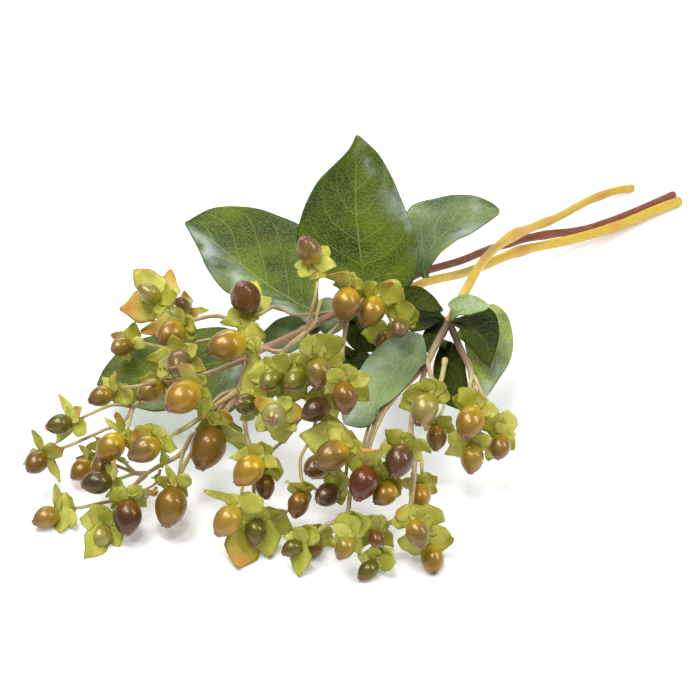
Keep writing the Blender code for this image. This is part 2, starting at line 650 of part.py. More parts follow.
def fruit_axis(fruit):
    """The fruit's middle and the direction from its calyx to its tip, with its length."""
    middle_across = (fruit.calyx[0] + fruit.tip[0]) / 2
    middle_down = (fruit.calyx[1] + fruit.tip[1]) / 2
    middle = seen_at(middle_across, middle_down, fruit.height)
    length = fruit.width * BERRY_LENGTH_TO_WIDTH
    step = (middle - SIGHT_POINT).dot(INWARD) / VIEW_FOCAL
    side = (fruit.tip[0] - fruit.calyx[0]) * step / length
    rise = (fruit.calyx[1] - fruit.tip[1]) * step / length
    flat = math.hypot(side, rise)
    if flat > FLATTEST:
        side, rise, flat = side * FLATTEST / flat, rise * FLATTEST / flat, FLATTEST
    inward = -math.sqrt(1 - flat ** 2)
    line = (middle - SIGHT_POINT).normalized()
    across = (ACROSS - line * ACROSS.dot(line)).normalized()
    upward = across.cross(line)
    return middle, (across * side + upward * rise + line * inward).normalized(), length


def settle_cymes(obstacles):
    """Each cyme's stalk places, and each fruit's twig places, middle, axis and length."""
    settling = Settling()
    for place, radius in obstacles:
        settling.obstacle(place, radius)
    plans = []
    fruit_number = 0
    for cyme_number, cyme in enumerate(CYMES):
        joint = place_of(cyme.foot)
        foot = settling.control(JOINTS[cyme.foot], free=False)
        stalk = [foot] + [settling.control(seen) for seen in cyme.stalk]
        nothing = Vector()
        for a, b in zip(stalk, stalk[1:]):
            settling.twig(a, b, nothing, STALK_RADIUS, Settling.STALK_NUMBER, cyme_number, joint)
        fruits = []
        for fruit in cyme.fruits:
            fruit_number += 1
            middle, axis, length = fruit_axis(fruit)
            body = settling.control(
                Seen((fruit.calyx[0] + fruit.tip[0]) / 2, (fruit.calyx[1] + fruit.tip[1]) / 2, fruit.height)
            )
            for along, wide in FRUIT_ROOM:
                settling.sample(body, body, 0.0, axis * length * along, fruit.width * wide,
                                fruit_number, cyme_number, False)
            twig = [stalk[-1]] + [settling.control(seen) for seen in fruit.via]
            for a, b in zip(twig, twig[1:]):
                settling.twig(a, b, nothing, PEDICEL_RADIUS, -fruit_number, cyme_number, joint)
            neck = axis * -(0.5 * length + NECK_LENGTH)
            settling.twig(twig[-1], body, neck, PEDICEL_RADIUS, -fruit_number, cyme_number, joint)
            fruits.append((twig[1:], body, axis, length, fruit.width))
        plans.append((cyme, joint, stalk[1:], fruits))
    slides = settling.settle()
    where = [place + slide for place, slide in zip(settling.places, slides)]
    return [
        (
            cyme,
            [joint] + [where[i] for i in stalk],
            [([where[i] for i in twig], where[body], axis, length, width)
             for twig, body, axis, length, width in fruits],
        )
        for cyme, joint, stalk, fruits in plans
    ]


def ring_frames(path):
    """Two directions square to the path at each of its points, turning as little as they can."""
    frames = []
    side = None
    for i, here in enumerate(path):
        ahead = (path[min(i + 1, len(path) - 1)] - path[max(i - 1, 0)]).normalized()
        if side is None:
            side = ahead.orthogonal().normalized()
        side = (side - ahead * side.dot(ahead)).normalized()
        frames.append((side, ahead.cross(side)))
    return frames


def add_ring(bm, middle, side, other, radii):
    """A ring of points, one for each radius, around a middle."""
    turn = math.tau / len(radii)
    return [
        bm.verts.new(middle + side * (radius * math.cos(turn * i)) + other * (radius * math.sin(turn * i)))
        for i, radius in enumerate(radii)
    ]


def join_rings(bm, low, high):
    """Faces between two rings with as many points."""
    count = len(low)
    for i in range(count):
        j = (i + 1) % count
        bm.faces.new((low[i], low[j], high[j], high[i]))


def close_ring(bm, ring, point):
    """Faces from a ring to one point past it."""
    peak = bm.verts.new(point)
    for i in range(len(ring)):
        bm.faces.new((ring[i], ring[(i + 1) % len(ring)], peak))


def add_tube(bm, path, radii, sides):
    """A closed tube along a path, with a flat start and a rounded far end."""
    frames = ring_frames(path)
    fullness = 0.5 + 0.5 / math.cos(math.pi / sides)
    radii = [radius * fullness for radius in radii]
    rings = [
        add_ring(bm, place, side, other, [radius] * sides)
        for place, radius, (side, other) in zip(path, radii, frames)
    ]
    for low, high in zip(rings, rings[1:]):
        join_rings(bm, low, high)
    bm.faces.new(list(reversed(rings[0])))
    ahead = (path[-1] - path[-2]).normalized() * radii[-1]
    side, other = frames[-1]
    slope = math.radians(30.0)
    shoulder_radii = [radii[-1] * math.cos(slope)] * sides
    shoulder = add_ring(bm, path[-1] + ahead * math.sin(slope), side, other, shoulder_radii)
    join_rings(bm, rings[-1], shoulder)
    close_ring(bm, shoulder, path[-1] + ahead)


def add_fruit(bm, twig, middle, axis, length, width, first_share):
    """A pedicel, its five-lobed calyx and the berry, as one closed skin."""
    base = middle - axis * (0.5 * length)
    neck = base - axis * NECK_LENGTH
    path = even_path([*twig, neck], PEDICEL_SPACING) + [base - axis * NECK_END]
    frames = ring_frames(path)
    shares = [first_share] + [1.0] * (len(path) - 1)
    rings = [
        add_ring(bm, place, side, other, [PEDICEL_RADIUS * share] * TWIG_SIDES)
        for place, share, (side, other) in zip(path, shares, frames)
    ]
    for low, high in zip(rings, rings[1:]):
        join_rings(bm, low, high)
    bm.faces.new(list(reversed(rings[0])))
    side, other = frames[-1]
    lobes = [width * SEPAL_REACH_TO_WIDTH, SEPAL_NOTCH] * TWIG_SIDES
    under = add_ring(bm, base - axis * SEPAL_THICK, side, other, lobes)
    for i in range(TWIG_SIDES):
        tip, notch, next_tip = under[2 * i], under[2 * i + 1], under[(2 * i + 2) % BERRY_SIDES]
        low, high = rings[-1][i], rings[-1][(i + 1) % TWIG_SIDES]
        bm.faces.new((low, notch, tip))
        bm.faces.new((low, high, notch))
        bm.faces.new((high, next_tip, notch))
    over = add_ring(bm, base + axis * (CALYX_TOP * length), side, other, lobes)
    join_rings(bm, under, over)
    previous = over
    for along, wide in BERRY_PROFILE:
        ring = add_ring(bm, base + axis * (length * along), side, other, [width * wide] * BERRY_SIDES)
        join_rings(bm, previous, ring)
        previous = ring
    close_ring(bm, previous, base + axis * length)


def add_leaf(bm, rows):
    """A thin closed leaf around its middle surface."""
    stations, strips = len(rows), len(rows[0])

    def facing(i, j):
        along = rows[min(i + 1, stations - 1)][j] - rows[max(i - 1, 0)][j]
        across = rows[i][min(j + 1, strips - 1)] - rows[i][max(j - 1, 0)]
        return along.cross(across).normalized()

    def skin(half):
        return [
            [bm.verts.new(rows[i][j] + facing(i, j) * half) for j in range(strips)]
            for i in range(stations)
        ]

    upper = skin(0.5 * LEAF_THICK)
    lower = skin(-0.5 * LEAF_THICK)
    for i in range(stations - 1):
        for j in range(strips - 1):
            bm.faces.new((upper[i][j], upper[i + 1][j], upper[i + 1][j + 1], upper[i][j + 1]))
            bm.faces.new((lower[i][j], lower[i][j + 1], lower[i + 1][j + 1], lower[i + 1][j]))
    for i in range(stations - 1):
        bm.faces.new((upper[i][0], lower[i][0], lower[i + 1][0], upper[i + 1][0]))
        bm.faces.new((upper[i][-1], upper[i + 1][-1], lower[i + 1][-1], lower[i][-1]))
    for j in range(strips - 1):
        bm.faces.new((upper[0][j], upper[0][j + 1], lower[0][j + 1], lower[0][j]))
        bm.faces.new((upper[-1][j], lower[-1][j], lower[-1][j + 1], upper[-1][j + 1]))


def seated_path(points, radius, neighbours, spacing):
    """A twig's path from where its nose clears its neighbours, and its thick part clears them too."""
    fine = even_path(points, NOSE_STEP)
    reach = min(len(fine), NOSE_REACH)
    room = [room_at(place, neighbours) - SEAT_GAP for place in fine[:reach]]
    start = next((i for i, free in enumerate(room) if free >= NOSE_ROOM and i > 0), reach - 1)
    full = next((i for i in range(start + 1, reach) if room[i] >= radius), min(start + 2, reach - 1))
    rest = even_path(fine[full:], spacing) if full < len(fine) - 3 else [fine[-1]]
    share = (NOSE_ROOM - room[start - 1]) / max(room[start] - room[start - 1], 1e-6)
    nose = fine[start - 1].lerp(fine[start], min(max(share, 0.0), 1.0))
    return [nose, *rest]


def with_nose(radii):
    """The radii of a seated twig, whose first is its slim nose's."""
    return [radii[0] * NOSE_SHARE, *radii[1:]]


def solid(name, fill):
    """A hidden piece of a union, or a finished one: an object whose mesh the function fills."""
    bm = bmesh.new()
    fill(bm)
    bmesh.ops.recalc_face_normals(bm, faces=bm.faces)
    mesh = bpy.data.meshes.new(name)
    bm.to_mesh(mesh)
    bm.free()
    obj = bpy.data.objects.new(name, mesh)
    bpy.context.scene.collection.objects.link(obj)
    return obj


def join_solids(name, pieces):
    """One closed body from solids that run into each other."""
    whole = pieces[0]
    for other in pieces[1:]:
        union = whole.modifiers.new("join", "BOOLEAN")
        union.operation = "UNION"
        union.solver = "EXACT"
        union.use_self = True
        union.object = other
        evaluated = whole.evaluated_get(bpy.context.evaluated_depsgraph_get())
        mesh = bpy.data.meshes.new_from_object(evaluated)
        whole.modifiers.remove(union)
        whole.data = mesh
    for other in pieces[1:]:
        bpy.data.objects.remove(other)
    drop_crumbs(whole.data)
    whole.name = name
    whole.data.name = name
    return whole


def drop_crumbs(mesh):
    """Keeps only the largest of the mesh's sheets of faces."""
    bm = bmesh.new()
    bm.from_mesh(mesh)
    waiting = set(bm.faces)
    largest = set()
    while waiting:
        sheet = set()
        front = [waiting.pop()]
        while front:
            face = front.pop()
            sheet.add(face)
            for edge in face.edges:
                beside = [other for other in edge.link_faces if other in waiting]
                if len(edge.link_faces) == 2:
                    waiting.difference_update(beside)
                    front.extend(beside)
        largest = max(largest, sheet, key=len)
    crumbs = [face for face in bm.faces if face not in largest]
    bmesh.ops.delete(bm, geom=crumbs, context="FACES")
    bm.to_mesh(mesh)
    bm.free()


def finish_of(key):
    """The plain surface of one kind of piece."""
    colour, roughness = FINISHES[key]
    material = bpy.data.materials.get(key) or bpy.data.materials.new(key)
    material.use_nodes = True
    shader = material.node_tree.nodes["Principled BSDF"]
    shader.inputs["Base Color"].default_value = (*colour, 1.0)
    shader.inputs["Roughness"].default_value = roughness
    shader.inputs["Metallic"].default_value = 0.0
    material.diffuse_color = (*colour, 1.0)
    return material


def dress(obj, key):
    """Gives a piece its surface and its smooth shading."""
    obj.data.materials.clear()
    obj.data.materials.append(finish_of(key))
    obj.data.shade_smooth()
    obj.data.set_sharp_from_angle(angle=math.radians(40))


def near_joint(routes, joint):
    """The stretches of the middle lines around a joint that they pass, with their radii."""
    stretches = []
    for path, radii in routes:
        if min((spot - joint).length for spot in path) < JOINT_REACH:
            near = [i for i, spot in enumerate(path) if (spot - joint).length < JOINT_STRETCH]
            stretches.append(([path[i] for i in near], [radii[i] for i in near]))
    return stretches


def make_stems():
    """The stems, and the branches that leave them; gives every middle line with its radii."""
    routes = []
    for stem in STEMS:
        points = [place_of(item) for item in stem.route]
        fine = even_path(points, FINE_SPACING)
        routes.append((fine, radii_along(stem, len(fine))))
        path = even_path(points, STEM_SPACING)
        radii = radii_along(stem, len(path))
        dress(solid(stem.name, lambda bm: add_tube(bm, path, radii, STEM_SIDES)), stem.finish)
    for branch in BRANCHES:
        points = [place_of(item) for item in branch.route]
        neighbours = near_joint(routes, points[0])
        path = seated_path(points, branch.radius_start, neighbours, BRANCH_SPACING)
        radii = with_nose(radii_along(branch, len(path)))
        dress(solid(branch.name, lambda bm: add_tube(bm, path, radii, BRANCH_SIDES)), branch.finish)
        fine = even_path(path, FINE_SPACING)
        routes.append((fine, radii_along(branch, len(fine))))
    return routes


def make_leaves(routes):
    """The leaves; gives the rows of each one's middle surface."""
    surfaces = []
    for leaf in LEAVES:
        rows = leaf_surface(leaf, near_joint(routes, place_of(leaf.foot)))
        surfaces.append(rows)
        dress(solid(leaf.name, lambda bm: add_leaf(bm, rows)), leaf.finish)
    return surfaces


def surface_spots(rows):
    """Places spread over a leaf, close enough together that no twig slips between."""
    spots = []
    for low, high in zip(rows, rows[1:]):
        for j in range(len(low) - 1):
            steps_along = max(1, round((high[j] - low[j]).length / LEAF_SPOT_SPACING))
            steps_across = max(1, round((low[j + 1] - low[j]).length / LEAF_SPOT_SPACING))
            for a in range(steps_along):
                for b in range(steps_across):
                    left = low[j].lerp(high[j], a / steps_along)
                    right = low[j + 1].lerp(high[j + 1], a / steps_along)
                    spots.append(left.lerp(right, b / steps_across))
    return spots


def make_cymes(routes, surfaces):
    """The fruit clusters, each one closed body of its stalk, pedicels, calyces and berries."""
    obstacles = [(spot, radius) for path, radii in routes for spot, radius in zip(path, radii)]
    obstacles += [(spot, LEAF_CLEARANCE) for rows in surfaces for spot in surface_spots(rows)]
    for cyme, stalk, fruits in settle_cymes(obstacles):
        pieces = []
        neighbours = near_joint(routes, stalk[0])
        if len(stalk) > 1:
            path = seated_path(stalk, STALK_RADIUS, neighbours, STALK_SPACING)
            radii = with_nose([STALK_RADIUS] * len(path))
            pieces.append(solid("stalk", lambda bm: add_tube(bm, path, radii, TWIG_SIDES)))
            routes.append((path, radii))
        for number, (twig, middle, axis, length, width) in enumerate(fruits):
            root = stalk[-1]
            if len(stalk) > 1:
                root = root + (stalk[-2] - root).normalized() * (ROOT_STEP * (number + 1))
            start = [root, *twig]
            first_share = 1.0
            if len(stalk) == 1:
                neck = middle - axis * (0.5 * length + NECK_LENGTH)
                start = seated_path([*start, neck], PEDICEL_RADIUS, neighbours, PEDICEL_SPACING)[:-1]
                first_share = NOSE_SHARE
            pieces.append(
                solid("fruit", lambda bm: add_fruit(bm, start, middle, axis, length, width, first_share))
            )
        dress(join_solids(cyme.name, pieces), "berry")


def main():
    """Clears the scene and builds the bunch."""
    for obj in list(bpy.data.objects):
        bpy.data.objects.remove(obj)
    routes = make_stems()
    surfaces = make_leaves(routes)
    make_cymes(routes, surfaces)


main()
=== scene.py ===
"""The looks of a gathered bunch of cut hypericum stems with leaves and ripening berries.

Metres, +Z up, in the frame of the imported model. Places are given as they are seen from one fixed sight
point, as across and down on a 700 by 700 view, with a real height above the surface in millimetres.
Every piece lies where the solid that it replaces lies.
"""

import functools
import itertools
import math
import random
from collections import namedtuple

import bpy
import numpy as np
from bpy.props import FloatProperty, FloatVectorProperty, IntProperty, PointerProperty
from bpy.types import Operator, Panel, PropertyGroup
from mathutils import Matrix, Quaternion, Vector


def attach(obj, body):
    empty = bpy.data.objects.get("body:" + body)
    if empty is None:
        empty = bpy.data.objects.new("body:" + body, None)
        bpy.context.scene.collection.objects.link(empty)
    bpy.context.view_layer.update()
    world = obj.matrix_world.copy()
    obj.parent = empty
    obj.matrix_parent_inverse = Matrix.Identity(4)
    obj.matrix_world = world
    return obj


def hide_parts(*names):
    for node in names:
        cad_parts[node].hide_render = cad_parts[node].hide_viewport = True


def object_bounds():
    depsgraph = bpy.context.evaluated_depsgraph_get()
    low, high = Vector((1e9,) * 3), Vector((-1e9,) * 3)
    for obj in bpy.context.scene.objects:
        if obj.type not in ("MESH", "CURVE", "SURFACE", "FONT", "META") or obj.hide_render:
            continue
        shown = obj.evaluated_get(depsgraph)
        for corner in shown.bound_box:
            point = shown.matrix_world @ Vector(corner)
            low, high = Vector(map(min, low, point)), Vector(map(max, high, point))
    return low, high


bl_info = {
    "name": "Hypericum Berry Stem",
    "version": (1, 0, 0),
    "blender": (4, 5, 0),
    "location": "View3D > Sidebar > Berry Stem",
    "description": "Makes a gathered bunch of hypericum stems with leaves, sepals and glossy berries",
    "category": "Add Mesh",
}

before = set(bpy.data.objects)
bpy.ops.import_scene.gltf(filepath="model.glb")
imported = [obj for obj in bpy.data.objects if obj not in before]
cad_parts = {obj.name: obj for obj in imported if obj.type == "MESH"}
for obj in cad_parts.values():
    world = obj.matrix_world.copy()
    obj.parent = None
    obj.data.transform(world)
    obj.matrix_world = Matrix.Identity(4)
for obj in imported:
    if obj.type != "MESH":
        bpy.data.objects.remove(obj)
CAD_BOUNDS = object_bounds()
BODY = "root"

# The sight point, from which every place is given.
SIGHT_DISTANCE = 1.25
SIGHT_ELEVATION = math.radians(33.0)
SIGHT_HEADING = math.radians(-45.0)
VIEW_MIDDLE = 350.0
VIEW_STEPS = 700
SURFACE_PER_STEP = 0.00055
VIEW_FOCAL = SIGHT_DISTANCE / SURFACE_PER_STEP
SIGHT_CENTRE = Vector((-0.01747, 0.04984, 0.0))
SENSOR_WIDTH = 36.0
FURTHEST_SEEN = 20.0

# Sizes of the pieces, as the solids have them.
MM = 0.001
BERRY_LENGTH_TO_WIDTH = 1.32
NECK_LENGTH = 0.0035
PEDICEL_RADIUS = 0.00085
STALK_RADIUS = 0.00115
LEAF_FOOT_HALF_WIDTH = 0.00096
LEAF_TIP_HALF_WIDTH = 0.0006
# How much of a berry's length may lie across the line of sight.
FLATTEST = 0.97

# How finely the pieces are made.
LEAF_STATIONS = 9
LEAF_STRIPS = (-1.0, -0.5, 0.0, 0.5, 1.0)
CURVE_STEPS = 24
TUBE_SPACING = 0.0016
TWIG_SIDES = 8
STEM_SIDES = 20
# Smaller than any length here.
TINY = 1e-12

# In these a place is across, down and height, and widths, radii and lifts are in millimetres too.
Knot = namedtuple("Knot", "across down rise length")
Stem = namedtuple("Stem", "name finish radius_start radius_end route knots", defaults=((),))
Tip = namedtuple("Tip", "across down shape tint", defaults=("broad", "plain"))
Fruit = namedtuple("Fruit", "look calyx tip width height settled twig sepals")
Cyme = namedtuple("Cyme", "name foot stalk fruits")
Leaf = namedtuple("Leaf", "name finish foot height rise_across rise_up lift base tip left rib right")


def axes_of_sight():
    """The view's across, up and inward directions."""
    inward_flat = Vector((-math.sin(SIGHT_HEADING), math.cos(SIGHT_HEADING), 0.0))
    across = Vector((math.cos(SIGHT_HEADING), math.sin(SIGHT_HEADING), 0.0))
    inward = inward_flat * math.cos(SIGHT_ELEVATION) - Vector((0, 0, math.sin(SIGHT_ELEVATION)))
    return across, across.cross(inward), inward


ACROSS, UPWARD, INWARD = axes_of_sight()
SIGHT_POINT = SIGHT_CENTRE - INWARD * SIGHT_DISTANCE


def sight_line(across, down):
    """The direction in which a place of the view is seen."""
    step_across = (across - VIEW_MIDDLE) / VIEW_FOCAL
    step_up = (VIEW_MIDDLE - down) / VIEW_FOCAL
    return (INWARD + ACROSS * step_across + UPWARD * step_up).normalized()


def seen_at(across, down, height):
    """The real place that is seen there at this height above the surface."""
    line = sight_line(across, down)
    return SIGHT_POINT + line * ((height * MM - SIGHT_POINT.z) / line.z)


# Places where twigs leave a stem or a branch.
JOINTS = {
    "left_hub": (264, 348, 54), "left_knuckle": (246, 359, 51), "left_bend": (238, 389, 45),
    "left_front_fork": (212, 425, 36), "left_side": (184, 450, 29), "left_low_fork": (146, 474, 21),
    "left_mid_fork": (164, 384, 43), "left_far_fork": (141, 402, 37), "left_back_fork": (190, 321, 50),
    "red_side": (318, 322, 54), "red_mid": (342, 310, 53.2), "red_low": (292, 336, 54),
    "left_leaf_seat": (255, 353, 52.5), "left_back_bend": (243, 330, 54), "upper_bend": (466, 290, 50),
    "right_upper": (455, 336, 50.5), "right_bend": (460, 348, 49), "right_front_bend": (439, 339, 51),
    "red_top": (366, 297, 52), "centre_fork": (348, 314, 57.5), "centre_bend": (343, 345, 60),
    "centre_lower": (326, 402, 52), "yellow_low_side": (426, 282, 49), "yellow_low_bend": (392, 297, 53),
    "right_fork": (449, 322, 52), "right_knuckle": (427, 363, 50), "low_fork": (366, 452, 40),
    "front_side": (411, 434, 44), "front_fork": (409, 511, 27), "right_low_knuckle": (472, 378, 46),
}

STEMS = [
    Stem("stem_red_brown", "red_bark", 2.6, 1.9, [(673.5, 195, 2.7), (644, 208, 4.3), (613, 220.5, 7),
         (582.5, 230, 10.2), (552, 234, 14.5), (524, 239, 20.5), (490, 249, 29), (460, 261, 37),
         (427.5, 270.5, 45), (397, 284, 50), "red_top", "red_mid", "red_side", "red_low", "left_hub"],
         [(545, 236, 0.4, 5), (508, 244, 0.5, 4)]),
    Stem("stem_yellow_lower", "yellow_bark", 3, 2.2, [(679, 201.5, 3.12), (656, 210, 4.2),
         (613, 227.5, 6.8), (567, 240.5, 14), (520, 251, 22), (484.5, 265.5, 30), (460, 274, 37),
         "yellow_low_side", "yellow_low_bend", (370, 307, 56.2), "centre_fork"], [(520, 251, 0.7, 5),
         (613, 227.5, 0.3, 4)]),
    Stem("stem_yellow_upper", "yellow_bark", 2.4, 2.5, [(632, 188, 2.46), (613, 191.5, 5.5),
         (587, 201.5, 12), (558, 217, 21), (532, 227.5, 30), (514, 235, 38), (497, 247, 43), (481, 264, 47),
         "upper_bend", "right_fork"], [(514, 235, 1, 6), (545, 222, 0.4, 4), (600, 196, 0.4, 5)]),
]

BRANCHES = [
    Stem("branch_left_front", "twig", 1.9, 1, ["left_hub", "left_leaf_seat", "left_knuckle", (245, 372, 48),
         "left_bend", (227, 408, 41), "left_front_fork", (192, 436, 32), "left_side", (175, 458, 26),
         (159, 466, 23), "left_low_fork"]),
    Stem("branch_left_middle", "twig", 1.4, 1, ["left_knuckle", (226, 367, 52), (196, 377, 48),
         "left_mid_fork", "left_far_fork"]),
    Stem("branch_left_back", "twig", 1.4, 1, ["left_hub", "left_back_bend", (219, 316, 53),
         "left_back_fork"]),
    Stem("branch_centre", "twig", 1.3, 1.1, ["centre_fork", "centre_bend", (338, 372, 58), "centre_lower"]),
    Stem("branch_right_front", "twig", 2.1, 1.7, ["right_fork", "right_front_bend", "right_knuckle"]),
    Stem("branch_centre_low", "twig", 1.3, 1, ["right_knuckle", (412, 380, 45), (398, 393, 44),
         (381, 411, 43), (371.5, 432, 41), "low_fork"]),
    Stem("branch_front", "twig", 1.4, 1.2, ["right_knuckle", (421, 384, 47), (413, 410, 45), "front_side",
         (414, 456, 37), (414, 476, 33), (412, 497, 29), "front_fork"]),
    Stem("branch_right", "twig", 1.9, 1.7, ["right_fork", "right_upper", "right_bend", (469, 366, 47),
         "right_low_knuckle"]),
]

